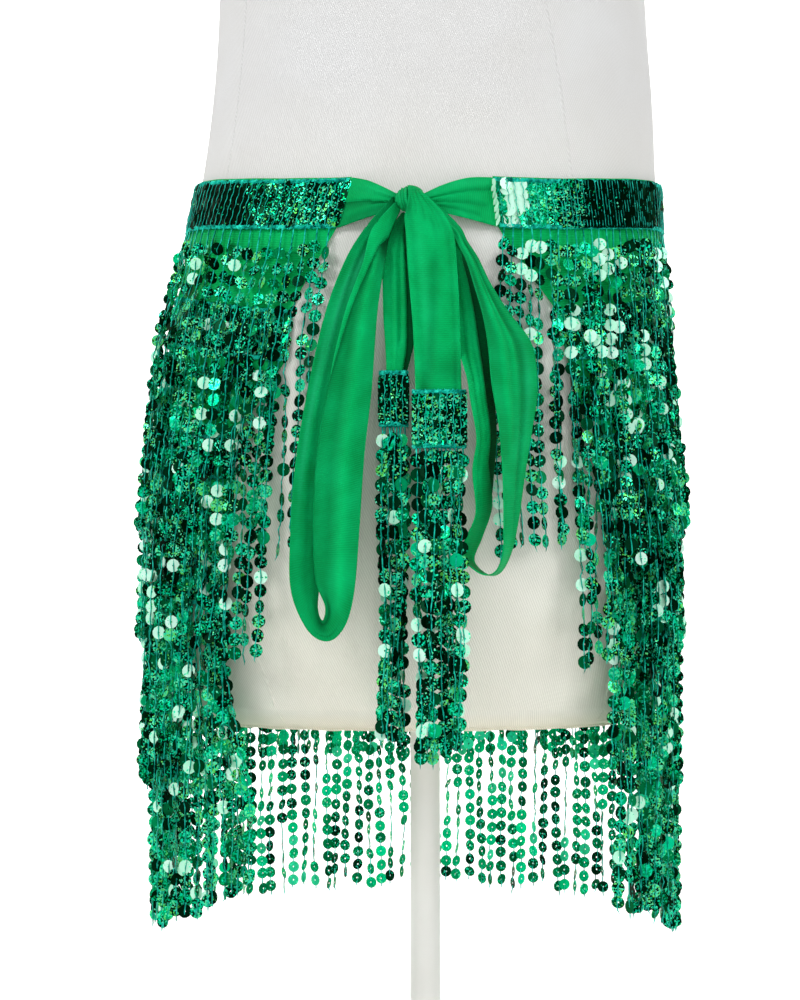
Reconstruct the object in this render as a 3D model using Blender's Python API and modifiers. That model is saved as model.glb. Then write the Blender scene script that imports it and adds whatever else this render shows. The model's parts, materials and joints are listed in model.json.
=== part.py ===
"""Sequin hip scarf, tied in a bow round a limbless dress form on a plain stand.

Metres, +Z up. The origin is the middle of the stand base's underside and the bow faces -Y.
The cloth's levels are heights at the hips; the front of each tier hangs lower or higher by its dip.
"""

import math

import bmesh
import bpy
from mathutils import Vector

PARTS = "sequin_hip_scarf"
MM = 0.001
GAP = 0.3 * MM
SHARP_ANGLE = math.radians(35.0)

# Stand, in metres
BASE_RADIUS = 0.150
BASE_HEIGHT = 0.014
BASE_RIM = 0.004
POLE_RADIUS = 0.0100
TURNED_STEPS = 48

# Dress form: a rounded section that is narrower from front to back than across
FORM_SIDES = 60
SQUARENESS = 2.25
NARROWER = 0.049
# height, half width, middle from side to side
FORM_SECTIONS = (
    (0.2505, 0.1360, -0.0070),
    (0.2540, 0.1452, -0.0070),
    (0.2635, 0.1520, -0.0070),
    (0.3020, 0.1620, -0.0070),
    (0.3500, 0.1675, -0.0070),
    (0.4100, 0.1690, -0.0070),
    (0.4600, 0.1675, -0.0058),
    (0.5220, 0.1640, -0.0040),
    (0.5830, 0.1597, 0.0000),
    (0.6175, 0.1557, 0.0030),
    (0.6660, 0.1524, 0.0055),
    (0.7080, 0.1494, 0.0056),
    (0.7520, 0.1478, 0.0052),
    (0.7880, 0.1470, 0.0050),
    (0.7965, 0.1436, 0.0050),
    (0.8000, 0.1354, 0.0050),
)
WIDEST = 0.4100

# Scarf: walls, and how far each layer's middle lies outside the form
CLOTH = 1.0 * MM
BAND_THICK = 1.4 * MM
CLOTH_OUT = 1.6 * MM
BAND_OUT = CLOTH_OUT + 0.5 * CLOTH + GAP + 0.5 * BAND_THICK
STRIP_HEIGHT = 4.0 * MM
SIDE_ANGLE = math.radians(62.0)
FRONT_COLUMNS = 7
BACK_COLUMNS = 38
DIP_ANGLES = (math.radians(15.0), math.radians(95.0))
# level, left front edge, right front edge, dip of the front below the hips
FRONT_EDGES = (
    (0.3200, -0.1240, 0.1130, -0.0160),
    (0.3520, -0.1270, 0.1110, -0.0090),
    (0.4090, -0.1220, 0.1040, 0.0030),
    (0.4410, -0.1160, 0.0990, 0.0100),
    (0.5045, -0.0850, 0.0850, 0.0285),
    (0.5365, -0.0820, 0.0790, 0.0290),
    (0.5805, -0.0535, 0.0440, 0.0205),
    (0.6125, -0.0440, 0.0410, 0.0215),
)
# band's top and bottom, strands' length, the share by which the front ones are shorter, then the
# half width and middle halfway down, and at the end
TIERS = (
    (0.6125, 0.5805, 0.1965, 0.00, 0.1742, -0.0080, 0.1826, -0.0089),
    (0.5365, 0.5045, 0.1900, 0.05, 0.1780, -0.0085, 0.1805, -0.0100),
    (0.4410, 0.4090, 0.1900, 0.03, 0.1768, -0.0084, 0.1762, -0.0099),
    (0.3520, 0.3200, 0.1965, 0.08, 0.1718, -0.0070, 0.1708, -0.0070),
)

# Fringe strands: flat strands that each stand for the sequins of two or three threads
STRANDS = 48
MEASURE_STEPS = 720
STRAND_WIDE = 8.0 * MM
STRAND_THICK = 1.2 * MM
# share of a strand's length where it bends
STRAND_HALFWAY = 0.40

# Bow, in millimetres until it is built
KNOT_MIDDLE = (-11.0, -128.5, 572.3)
KNOT_HALF = (9.0, 8.0, 7.8)
KNOT_CLEAR = 0.9
KNOT_SEGMENTS = (20, 12)
RIBBON = 1.2
RIBBON_ACROSS = 4
RIBBON_STEPS = 2
RIBBON_FOLD = 1.2
# share of a strap's way to the knot, how far it bulges forwards there, and how far its top edge rises
STRAP_SECTIONS = {
    "tie_left": ((0.35, 1.5, 1.4), (0.70, 1.0, 1.0)),
    "tie_right": ((0.35, 1.5, 3.0), (0.70, 1.0, 2.6)),
}
# Where each ribbon leaves the knot: direction of its first edge and of its second
KNOT_EXITS = {
    "tie_left": ((-1.0, 0.60, 0.55), (-1.0, 0.60, -0.45)),
    "tie_right": ((1.0, 0.60, 0.55), (1.0, 0.60, -0.45)),
    "loop_left_front": ((-0.70, -0.30, -0.80), (-1.0, -0.45, -0.30)),
    "loop_left_back": ((-1.0, 0.05, 0.25), (-0.85, 0.10, -0.50)),
    "loop_right_front": ((0.80, -0.45, -0.50), (1.0, -0.25, 0.25)),
    "loop_right_back": ((0.75, 0.05, -0.80), (1.0, 0.15, -0.30)),
    "tail_left": ((-0.55, 0.05, -1.0), (0.30, 0.0, -1.0)),
    "tail_right": ((-0.15, -0.60, 0.80), (0.80, -0.45, 0.45)),
}
# Each row is one section: the first edge's x, y, z and the second edge's x, y, z
LOOP_LEFT = (
    (-23.5, -135.0, 547.5, -33.7, -137.0, 551.2),
    (-25.9, -140.0, 533.1, -38.9, -141.0, 529.5),
    (-30.6, -144.0, 500.8, -49.5, -144.0, 498.4),
    (-34.0, -147.0, 453.2, -60.5, -146.0, 448.4),
    (-38.1, -149.0, 415.9, -66.3, -147.0, 407.0),
    (-40.9, -151.0, 372.9, -67.5, -147.0, 368.9),
    (-43.8, -153.0, 336.8, -66.0, -147.0, 342.7),
    (-49.0, -155.0, 317.1, -60.7, -147.0, 327.5),
    (-58.3, -155.0, 308.4, -62.4, -144.0, 319.4),
    (-69.9, -150.0, 314.7, -64.8, -141.0, 327.5),
    (-80.0, -144.5, 336.8, -63.6, -140.5, 345.5),
    (-80.7, -143.0, 368.9, -62.6, -140.5, 368.9),
    (-78.5, -142.0, 407.0, -60.4, -140.5, 407.0),
    (-72.3, -141.5, 448.4, -54.7, -140.5, 448.4),
    (-61.9, -140.5, 497.2, -44.7, -139.5, 496.0),
    (-50.2, -138.5, 530.8, -37.2, -137.0, 525.9),
    (-37.2, -133.0, 554.2, -28.9, -131.0, 546.4),
)
LOOP_RIGHT = (
    (12.3, -137.0, 552.0, 17.6, -133.5, 556.2),
    (18.4, -141.5, 541.1, 23.5, -136.0, 545.0),
    (22.9, -146.0, 530.5, 29.6, -139.5, 534.1),
    (27.2, -150.0, 515.0, 36.9, -141.5, 518.2),
    (31.9, -152.5, 496.8, 47.7, -142.5, 500.4),
    (34.7, -153.5, 479.0, 60.9, -142.5, 481.2),
    (36.8, -155.0, 455.4, 64.0, -143.0, 455.5),
    (40.6, -157.0, 431.9, 61.2, -143.0, 433.0),
    (42.7, -158.0, 402.8, 56.6, -143.0, 404.7),
    (43.2, -158.0, 375.1, 52.6, -143.0, 377.1),
    (42.5, -158.0, 356.8, 48.4, -143.0, 358.3),
    (37.3, -156.5, 345.9, 41.9, -142.0, 346.5),
    (28.7, -150.0, 345.9, 33.7, -136.5, 345.4),
    (18.6, -142.3, 356.0, 26.2, -130.0, 354.3),
    (20.6, -142.5, 366.4, 30.9, -132.0, 368.3),
    (26.4, -150.0, 381.4, 36.2, -137.0, 384.7),
    (24.6, -154.0, 405.5, 38.7, -141.0, 408.2),
    (26.8, -156.5, 424.1, 39.9, -143.5, 429.4),
    (23.5, -155.0, 446.3, 38.3, -143.0, 453.2),
    (21.8, -151.5, 460.0, 37.5, -140.5, 466.0),
    (17.4, -142.6, 480.0, 37.0, -137.5, 484.0),
    (16.2, -141.3, 500.7, 33.5, -135.5, 503.8),
    (14.7, -139.6, 517.8, 29.5, -134.0, 520.6),
    (13.6, -137.6, 531.3, 25.0, -132.5, 533.8),
    (12.6, -135.2, 543.7, 20.5, -131.0, 546.3),
)
TAIL_LEFT = (
    (-23.6, -129.5, 551.5, -9.6, -129.5, 552.8),
    (-27.4, -132.0, 538.5, -8.4, -132.5, 538.6),
    (-27.2, -134.2, 524.3, -8.0, -134.0, 524.5),
    (-26.6, -137.0, 498.8, -7.6, -136.5, 498.9),
    (-25.4, -138.0, 481.2, -9.4, -138.0, 481.2),
    (-24.7, -138.5, 465.3, -13.5, -138.5, 465.3),
)
TAIL_RIGHT = (
    (-11.6, -138.9, 572.8, -3.0, -137.6, 573.5),
    (-12.6, -140.0, 564.4, 5.4, -139.5, 564.6),
    (-14.0, -141.5, 558.0, 11.0, -140.5, 557.0),
    (-13.2, -143.0, 547.3, 14.7, -142.0, 546.4),
    (-12.0, -145.0, 526.4, 16.4, -144.0, 526.7),
    (-9.4, -146.5, 495.1, 17.9, -145.5, 495.3),
    (-8.2, -147.0, 470.1, 18.4, -147.0, 470.1),
    (-7.6, -147.0, 452.7, 18.7, -147.0, 452.7),
)
# Tassel: its middle, the cap's half width, top and bottom, and the strands' half width and lowest point
TASSELS = {
    "tassel_left": (-20.8, -138.5, 8.6, 464.8, 434.4, -21.3, 10.7, 245.0),
    "tassel_right": (6.0, -147.0, 15.9, 452.4, 420.7, 6.9, 16.3, 234.3),
}
TASSEL_THICK = 3.0
TASSEL_STRANDS = 9
TASSEL_STRAND_WIDE = 4.0
# how much of its pitch along the cap a strand's root takes
TASSEL_ROOT_SHARE = 0.6
# how far forward the strands' two layers lie
TASSEL_LAYERS = (6.0, -1.0)
# how far down the strand, and how much of the full width and spread it has there
TASSEL_STEPS = (
    (0.12, 0.45, 1.0),
    (0.50, 1.0, 1.0),
    (1.00, 1.0, 0.7),
)


def clear_scene():
    """Empties the scene of its objects."""
    for thing in list(bpy.data.objects):
        bpy.data.objects.remove(thing, do_unlink=True)


def material(name, colour, roughness, metallic=0.0):
    """A Principled material in one colour."""
    new = bpy.data.materials.new(name)
    new.use_nodes = True
    shader = new.node_tree.nodes["Principled BSDF"]
    shader.inputs["Base Color"].default_value = (*colour, 1.0)
    shader.inputs["Roughness"].default_value = roughness
    shader.inputs["Metallic"].default_value = metallic
    return new


def add_part(name, mesh, finish):
    """Puts a mesh in the parts' collection as a named object with its material."""
    thing = bpy.data.objects.new(name, mesh)
    bpy.data.collections[PARTS].objects.link(thing)
    mesh.materials.append(finish)
    mesh.shade_smooth()
    mesh.set_sharp_from_angle(angle=SHARP_ANGLE)
    return thing


def read_table(rows, height):
    """The columns after the first, read between the two rows that the height lies between."""
    if height <= rows[0][0]:
        return rows[0][1:]
    for low, high in zip(rows, rows[1:]):
        if height <= high[0]:
            share = (height - low[0]) / (high[0] - low[0])
            return tuple(a + (b - a) * share for a, b in zip(low[1:], high[1:]))
    return rows[-1][1:]


def rounded(value):
    """The superellipse's power of a sine or cosine."""
    return math.copysign(abs(value) ** (2.0 / SQUARENESS), value)


def on_section(angle, height, half_width, middle):
    """A point on a section. The angle is 0 at the front and grows towards +X."""
    x = middle + half_width * rounded(math.sin(angle))
    y = -(half_width - NARROWER) * rounded(math.cos(angle))
    return Vector((x, y, height))


def cloth_section(height):
    """Half width and middle of the form where cloth lies on it, or hangs from its widest place."""
    return read_table(FORM_SECTIONS, max(height, WIDEST))


def front_share(angle):
    """1 at the front, 0 from the sides round the back."""
    near, far = DIP_ANGLES
    from_front = math.acos(math.cos(angle))
    share = min(max((far - from_front) / (far - near), 0.0), 1.0)
    return share * share * (3.0 - 2.0 * share)


def cloth_height(angle, level):
    """A level's height at this angle, lower at the front by its dip."""
    dip = read_table(FRONT_EDGES, level)[2]
    return level - dip * front_share(angle)


def on_cloth(angle, level, out):
    """A point of the scarf, moved out from the form."""
    height = cloth_height(angle, level)
    half_width, middle = cloth_section(height)
    return on_section(angle, height, half_width + out, middle)


def edge_angle(level, x):
    """The angle at which a level's ring passes x at the front."""
    half_width, middle = cloth_section(level)
    share = (x - middle) / half_width
    return math.asin(math.copysign(abs(share) ** (0.5 * SQUARENESS), share))


def cloth_span(level):
    """The scarf's angles at a level, from its right front edge round the back to its left one."""
    left, right, _ = read_table(FRONT_EDGES, level)
    return edge_angle(level, right), edge_angle(level, left) + 2.0 * math.pi


def cloth_run(level):
    """Places along the scarf at a level: the distance from its right front edge, and the angle there."""
    start, end = cloth_span(level)
    angles = [start + (end - start) * i / MEASURE_STEPS for i in range(MEASURE_STEPS + 1)]
    points = [on_cloth(angle, level, CLOTH_OUT) for angle in angles]
    run = [0.0]
    for before, after in zip(points, points[1:]):
        run.append(run[-1] + (after - before).length)
    return list(zip(run, angles))


def strand_edges(level):
    """The angles of each strand's two edges, with the strands evenly spaced along the cloth."""
    run = cloth_run(level)
    pitch = (run[-1][0] - STRAND_WIDE) / (STRANDS - 1)
    edges = []
    for i in range(STRANDS):
        edges.extend((i * pitch, i * pitch + STRAND_WIDE))
    return [read_table(run, distance)[0] for distance in edges]


def thicken(thing, thickness):
    """Gives an open sheet its wall, half on each side."""
    wall = thing.modifiers.new("wall", "SOLIDIFY")
    wall.thickness = thickness
    wall.offset = 0.0
    return thing


def grid_mesh(name, rows):
    """An open sheet through rows of points."""
    columns = len(rows[0])
    points = [point for row in rows for point in row]
    faces = []
    for i in range(len(rows) - 1):
        for j in range(columns - 1):
            first = i * columns + j
            faces.append((first, first + 1, first + columns + 1, first + columns))
    mesh = bpy.data.meshes.new(name)
    mesh.from_pydata(points, [], faces)
    return mesh


def turned(name, profile, finish):
    """A turned piece: half its outline, from the top of its outer side down, and round its axis."""
    mesh = bpy.data.meshes.new(name)
    mesh.from_pydata(profile, [(i, i + 1) for i in range(len(profile) - 1)], [])
    thing = add_part(name, mesh, finish)
    screw = thing.modifiers.new("turn", "SCREW")
    screw.steps = TURNED_STEPS
    screw.render_steps = TURNED_STEPS
    screw.use_merge_vertices = True
    screw.merge_threshold = 0.00001
    return thing


def make_stand(finish):
    """The base plate on the floor and the pole up to the form's underside."""
    top = BASE_HEIGHT
    low = 0.5 * BASE_RIM
    plate = (
        (0.0, 0.0, top),
        (BASE_RADIUS - BASE_RIM, 0.0, top),
        (BASE_RADIUS, 0.0, top - BASE_RIM),
        (BASE_RADIUS, 0.0, low),
        (BASE_RADIUS - low, 0.0, 0.0),
        (0.0, 0.0, 0.0),
    )
    turned("stand_base", plate, finish)
    foot = top + GAP
    head = FORM_SECTIONS[0][0] - GAP
    pole = ((0.0, 0.0, head), (POLE_RADIUS, 0.0, head), (POLE_RADIUS, 0.0, foot), (0.0, 0.0, foot))
    turned("stand_pole", pole, finish)


def make_form(finish):
    """The dress form, a loft through its sections, closed at the top and the underside."""
    shape = bmesh.new()
    rings = []
    for height, half_width, middle in FORM_SECTIONS:
        ring = []
        for i in range(FORM_SIDES):
            angle = 2.0 * math.pi * i / FORM_SIDES
            ring.append(shape.verts.new(on_section(angle, height, half_width, middle)))
        rings.append(ring)
    for low, high in zip(rings, rings[1:]):
        for i in range(FORM_SIDES):
            j = (i + 1) % FORM_SIDES
            shape.faces.new((low[i], low[j], high[j], high[i]))
    shape.faces.new(list(reversed(rings[0])))
    shape.faces.new(rings[-1])
    mesh = bpy.data.meshes.new("form_body")
    shape.to_mesh(mesh)
    shape.free()
    add_part("form_body", mesh, finish)


def column_angles(level):
    """Angles of the cloth's columns: fixed round the back, and evenly spaced out to each front edge."""
    start, end = cloth_span(level)
    far_side = 2.0 * math.pi - SIDE_ANGLE
    right = [start + (SIDE_ANGLE - start) * j / FRONT_COLUMNS for j in range(FRONT_COLUMNS)]
    back = [SIDE_ANGLE + (far_side - SIDE_ANGLE) * j / BACK_COLUMNS for j in range(BACK_COLUMNS)]
    left = [far_side + (end - far_side) * j / FRONT_COLUMNS for j in range(FRONT_COLUMNS + 1)]
    return right + back + left


def cloth_rows(levels, out):
    """Rows of points along the scarf at these levels, the same ones for cloth and bands."""
    return [[on_cloth(angle, level, out) for angle in column_angles(level)] for level in levels]


def make_cloth_and_bands(cloth_finish, band_finish):
    """The base cloth, and the four sequined bands made from its own points, moved out."""
    levels = [level for tier in TIERS for level in tier[:2]]
    between = [0.5 * (upper + lower) for upper, lower in zip(levels[1:-1:2], levels[2::2])]
    levels = sorted(levels + between, reverse=True)
    mesh = grid_mesh("base_cloth", cloth_rows(levels, CLOTH_OUT))
    thicken(add_part("base_cloth", mesh, cloth_finish), CLOTH)
    for number, tier in enumerate(TIERS, 1):
        name = f"band_{number}"
        mesh = grid_mesh(name, cloth_rows(tier[:2], BAND_OUT))
        thicken(add_part(name, mesh, band_finish), BAND_THICK)


def fringe_point(tier, angle, share):
    """A point this share of the way down a tier's strand."""
    root_level = tier[1] - GAP - STRIP_HEIGHT
    root_height = cloth_height(angle, root_level)
    root_width, root_middle = cloth_section(root_height)
    root_width += BAND_OUT
    _, _, full_length, shorter, half_width, half_middle, end_width, end_middle = tier
    hang = (
        (0.0, root_width, root_middle),
        (STRAND_HALFWAY, half_width, half_middle),
        (1.0, end_width, end_middle),
    )
    width, middle = read_table(hang, share)
    length = full_length * (1.0 - shorter * front_share(angle))
    return on_section(angle, root_height - share * length, width, middle)


def comb_mesh(name, top_row, root_row, strand_rows):
    """A narrow strip with flat strands hanging from every second of its columns."""
    points = list(top_row) + list(root_row)
    columns = len(top_row)
    faces = []
    for j in range(columns - 1):
        faces.append((j, j + 1, columns + j + 1, columns + j))
    for strand, rows in enumerate(strand_rows):
        left = columns + 2 * strand
        right = left + 1
        for pair in rows:
            first = len(points)
            points.extend(pair)
            faces.append((left, right, first + 1, first))
            left = first
            right = first + 1
    mesh = bpy.data.meshes.new(name)
    mesh.from_pydata(points, [], faces)
    return mesh


def make_fringes(finish):
    """Each tier's strands, with their roots in a strip just under its band."""
    for number, tier in enumerate(TIERS, 1):
        strip_top = tier[1] - GAP
        angles = strand_edges(strip_top)
        top_row = [on_cloth(angle, strip_top, BAND_OUT) for angle in angles]
        root_row = [fringe_point(tier, angle, 0.0) for angle in angles]
        strands = []
        for i in range(STRANDS):
            pair = angles[2 * i:2 * i + 2]
            strands.append([[fringe_point(tier, angle, share) for angle in pair]
                            for share in (STRAND_HALFWAY, 1.0)])
        name = f"fringe_{number}"
        mesh = comb_mesh(name, top_row, root_row, strands)
        thicken(add_part(name, mesh, finish), STRAND_THICK)


def knot_exit(direction):
    """The point, in millimetres, where a ribbon that leaves the knot this way begins."""
    unit = Vector(direction).normalized()
    reach = 1.0 / math.sqrt(sum((part / half) ** 2 for part, half in zip(unit, KNOT_HALF)))
    return Vector(KNOT_MIDDLE) + unit * (reach + KNOT_CLEAR)


def off_knot(point):
    """The point, or if it is in the knot, the one that is clear of it on the same line from its middle."""
    away = point - Vector(KNOT_MIDDLE)
    start = knot_exit(away)
    if away.length < (start - Vector(KNOT_MIDDLE)).length:
        return start
    return point


def edge_row(exit_name):
    """A section's six numbers at the knot."""
    first, second = KNOT_EXITS[exit_name]
    return (*knot_exit(first), *knot_exit(second))


def curve_through(rows, steps):
    """Smooths a table's rows with a Catmull-Rom curve, this many steps from row to row."""
    curve = []
    for i in range(len(rows) - 1):
        before = rows[max(i - 1, 0)]
        start = rows[i]
        end = rows[i + 1]
        after = rows[min(i + 2, len(rows) - 1)]
        for step in range(steps):
            t = step / steps
            curve.append(tuple(
                0.5 * (2.0 * b + (c - a) * t + (2.0 * a - 5.0 * b + 4.0 * c - d) * t ** 2
                       + (3.0 * b - a - 3.0 * c + d) * t ** 3)
                for a, b, c, d in zip(before, start, end, after)))
    curve.append(tuple(rows[-1]))
    return curve


def make_ribbon(name, table, finish):
    """A ribbon between its two edges, with one soft fold along its length."""
    sections = curve_through(table, RIBBON_STEPS)
    last = len(sections) - 1
    rows = []
    for i, section in enumerate(sections):
        first = Vector(section[:3])
        second = Vector(section[3:])
        before = sections[max(i - 1, 0)]
        after = sections[min(i + 1, last)]
        along = Vector(after[:3]) - Vector(before[:3])
        away = along.cross(second - first).normalized()
        depth = RIBBON_FOLD * math.sin(math.pi * i / last)
        row = []
        for j in range(RIBBON_ACROSS + 1):
            share = j / RIBBON_ACROSS
            point = first.lerp(second, share) + away * depth * math.sin(2.0 * math.pi * share)
            row.append(off_knot(point) * MM)
        rows.append(row)
    mesh = grid_mesh(name, rows)
    return thicken(add_part(name, mesh, finish), RIBBON * MM)


def tie_table(side, name):
    """A strap's sections, from just past the waistband's front end to the knot."""
    rows = []
    top_level, low_level = TIERS[0][:2]
    corner = []
    for level in (top_level, low_level):
        start, end = cloth_span(level)
        angle = end if side < 0 else start
        point = on_cloth(angle, level, BAND_OUT) / MM
        point.x -= side * 2.0 * GAP / MM
        corner.append(point)
    rows.append((*corner[0], *corner[1]))
    knot = edge_row(name)
    for share, bulge, rise in STRAP_SECTIONS[name]:
        row = [a + (b - a) * share for a, b in zip(rows[0], knot)]
        row[1] -= bulge
        row[4] -= bulge
        row[2] += rise
        rows.append(tuple(row))
    rows.append(knot)
    return rows


def make_bow(finish):
    """Straps, knot, hanging loops and tails of the tie."""
    shape = bmesh.new()
    around, upright = KNOT_SEGMENTS
    bmesh.ops.create_uvsphere(shape, u_segments=around, v_segments=upright, radius=1.0)
    for corner in shape.verts:
        corner.co = (Vector(KNOT_MIDDLE) + Vector(KNOT_HALF) * corner.co) * MM
    mesh = bpy.data.meshes.new("bow_knot")
    shape.to_mesh(mesh)
    shape.free()
    add_part("bow_knot", mesh, finish)
    for side, name in ((-1, "tie_left"), (1, "tie_right")):
        make_ribbon(name, tie_table(side, name), finish)
    for name, table in (("loop_left", LOOP_LEFT), ("loop_right", LOOP_RIGHT)):
        rows = [edge_row(f"{name}_front"), *table, edge_row(f"{name}_back")]
        make_ribbon(name, rows, finish)
    for name, table in (("tail_left", TAIL_LEFT), ("tail_right", TAIL_RIGHT)):
        make_ribbon(name, [edge_row(name), *table], finish)


def make_tassels(finish):
    """The sequined cap on each tail, with its strands hanging from it in two uneven layers."""
    for name, row in TASSELS.items():
        middle, depth, cap_half, top, bottom, end_middle, end_half, lowest = row
        pitch = 2.0 * cap_half / (TASSEL_STRANDS - 1.0 + TASSEL_ROOT_SHARE)
        narrow = TASSEL_ROOT_SHARE * pitch
        top_row = []
        root_row = []
        strands = []
        for i in range(TASSEL_STRANDS):
            centre = middle - cap_half + 0.5 * narrow + i * pitch
            across = 2.0 * i / (TASSEL_STRANDS - 1) - 1.0
            end_centre = end_middle + (end_half - 0.5 * TASSEL_STRAND_WIDE) * across
            forward = TASSEL_LAYERS[i % 2]
            for side in (-0.5, 0.5):
                x = centre + side * narrow
                top_row.append(Vector((x, depth, top)) * MM)
                root_row.append(Vector((x, depth, bottom)) * MM)
            rows = []
            for share, width_share, spread in TASSEL_STEPS:
                x = centre + (end_centre - centre) * share
                wide = narrow + (TASSEL_STRAND_WIDE - narrow) * width_share
                z = bottom + (lowest - bottom) * share
                y = depth - forward * spread
                rows.append([Vector((x + side * wide, y, z)) * MM for side in (-0.5, 0.5)])
            strands.append(rows)
        mesh = comb_mesh(name, top_row, root_row, strands)
        thicken(add_part(name, mesh, finish), TASSEL_THICK * MM)


def main():
    """Builds the form, its stand and the scarf."""
    clear_scene()
    bpy.context.scene.collection.children.link(bpy.data.collections.new(PARTS))
    make_stand(material("cream_paint", (0.80, 0.78, 0.72), 0.35))
    make_form(material("cream_twill", (0.84, 0.82, 0.77), 0.85))
    mesh_cloth = material("green_mesh_cloth", (0.003, 0.44, 0.115), 0.60)
    sequins = material("green_sequins", (0.002, 0.22, 0.09), 0.22, 0.6)
    make_cloth_and_bands(mesh_cloth, sequins)
    make_fringes(sequins)
    make_bow(mesh_cloth)
    make_tassels(sequins)


main()
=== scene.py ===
# %% [markdown]
# # A sequin hip scarf, tied round a dress form
# The scarf is one panel of green stretch mesh with four bands sewn on it. Each band is covered in
# sequins, and a fringe of threaded sequins hangs from it. Two sheer ties knot in a bow at the front.
# The solids that came before this lesson hold the sizes. Here every surface gets its finish, and the
# thousands of sequins that a solid can't carry.

import json
import math

import bmesh
import bpy
import numpy as np
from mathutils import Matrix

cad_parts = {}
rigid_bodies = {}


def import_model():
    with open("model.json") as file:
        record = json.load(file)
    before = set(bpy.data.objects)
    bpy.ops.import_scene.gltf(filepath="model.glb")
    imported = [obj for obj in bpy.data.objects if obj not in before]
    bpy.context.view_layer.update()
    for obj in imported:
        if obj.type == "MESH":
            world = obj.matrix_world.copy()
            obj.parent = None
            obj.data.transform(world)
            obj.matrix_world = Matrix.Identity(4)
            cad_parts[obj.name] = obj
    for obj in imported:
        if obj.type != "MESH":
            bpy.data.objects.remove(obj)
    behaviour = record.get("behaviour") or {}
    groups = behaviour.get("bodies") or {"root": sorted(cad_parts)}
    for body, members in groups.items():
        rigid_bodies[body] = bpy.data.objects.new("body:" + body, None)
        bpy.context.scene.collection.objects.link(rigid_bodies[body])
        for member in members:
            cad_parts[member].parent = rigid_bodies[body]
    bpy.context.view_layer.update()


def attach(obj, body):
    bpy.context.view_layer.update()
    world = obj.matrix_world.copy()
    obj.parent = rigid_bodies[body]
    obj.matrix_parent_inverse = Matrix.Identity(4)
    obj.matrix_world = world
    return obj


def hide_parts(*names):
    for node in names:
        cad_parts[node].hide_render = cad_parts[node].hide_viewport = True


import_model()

# %% [markdown]
# ## The sizes
# A finish has to lie exactly on its solid, so the lesson starts with the same sizes, in metres. The
# form and the cloth share one rule: a rounded section, narrower from front to back than across, whose
# half width and middle come from a short table of heights.

# %% Sizes of the form and the scarf
MM = 0.001
GAP = 0.3 * MM
SQUARENESS = 2.25
NARROWER = 0.049
# height, half width, middle from side to side
FORM_SECTIONS = np.array((
    (0.2505, 0.1360, -0.0070),
    (0.2540, 0.1452, -0.0070),
    (0.2635, 0.1520, -0.0070),
    (0.3020, 0.1620, -0.0070),
    (0.3500, 0.1675, -0.0070),
    (0.4100, 0.1690, -0.0070),
    (0.4600, 0.1675, -0.0058),
    (0.5220, 0.1640, -0.0040),
    (0.5830, 0.1597, 0.0000),
    (0.6175, 0.1557, 0.0030),
    (0.6660, 0.1524, 0.0055),
    (0.7080, 0.1494, 0.0056),
    (0.7520, 0.1478, 0.0052),
    (0.7880, 0.1470, 0.0050),
    (0.7965, 0.1436, 0.0050),
    (0.8000, 0.1354, 0.0050),
))
WIDEST = 0.4100
CLOTH = 1.0 * MM
BAND_THICK = 1.4 * MM
CLOTH_OUT = 1.6 * MM
BAND_OUT = CLOTH_OUT + 0.5 * CLOTH + GAP + 0.5 * BAND_THICK
DIP_ANGLES = (math.radians(15.0), math.radians(95.0))
# level, left front edge, right front edge, dip of the front below the hips
FRONT_EDGES = np.array((
    (0.3200, -0.1240, 0.1130, -0.0160),
    (0.3520, -0.1270, 0.1110, -0.0090),
    (0.4090, -0.1220, 0.1040, 0.0030),
    (0.4410, -0.1160, 0.0990, 0.0100),
    (0.5045, -0.0850, 0.0850, 0.0285),
    (0.5365, -0.0820, 0.0790, 0.0290),
    (0.5805, -0.0535, 0.0440, 0.0205),
    (0.6125, -0.0440, 0.0410, 0.0215),
))
# band's top and bottom, strands' length, the share by which the front ones are shorter, then the
# half width and middle halfway down, and at the end
TIERS = (
    (0.6125, 0.5805, 0.1965, 0.00, 0.1742, -0.0080, 0.1826, -0.0089),
    (0.5365, 0.5045, 0.1900, 0.05, 0.1780, -0.0085, 0.1805, -0.0100),
    (0.4410, 0.4090, 0.1900, 0.03, 0.1768, -0.0084, 0.1762, -0.0099),
    (0.3520, 0.3200, 0.1965, 0.08, 0.1718, -0.0070, 0.1708, -0.0070),
)
STRAND_HALFWAY = 0.40
print("form:", len(FORM_SECTIONS), "sections; tiers:", len(TIERS))

# %% [markdown]
# ## Rules that come back
# A value kept between 0 and 1, a soft step and a distance summed along a line are needed all through
# the lesson. Each is written once, for whole arrays, and then has a name to read it by.

# %% Helpers for arrays
UP = np.array((0.0, 0.0, 1.0))


def share_of(value):
    """The value kept between 0 and 1."""
    return np.clip(value, 0.0, 1.0)


def eased(share):
    """A soft step from 0 to 1: share squared * (3 - 2 * share)."""
    return share * share * (3.0 - 2.0 * share)


def stacked(*parts):
    """Arrays or numbers brought to one shape, then laid side by side as the last axis."""
    return np.stack(np.broadcast_arrays(*parts), axis=-1)


def summed(steps):
    """The running sum of the steps, from 0."""
    return np.concatenate(([0.0], np.cumsum(steps)))


def distance_along(line):
    """The distance of each point of a line from its start, summed up point by point."""
    return summed(np.linalg.norm(np.diff(line, axis=0), axis=1))


def spaced(run, per_metre, values):
    """Values along a run at evenly shared places: their number a metre, summed over the run, gives how
    many there are, and each lies half a place past a whole number of places."""
    placed = summed(per_metre * np.diff(run))
    count = int(placed[-1])
    return np.interp((np.arange(count) + 0.5) / count * placed[-1], placed, values)


print("halfway up a soft step:", eased(0.5))

# %% [markdown]
# ## Where the cloth is
# A dressmaker drapes cloth on the form itself. In numbers that means one function of two parameters,
# the angle round the form and the level on it, plus how far outside the form a layer lies. Working
# with whole arrays lets the same few lines place a panel, a band or every sequin of a tier.

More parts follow.
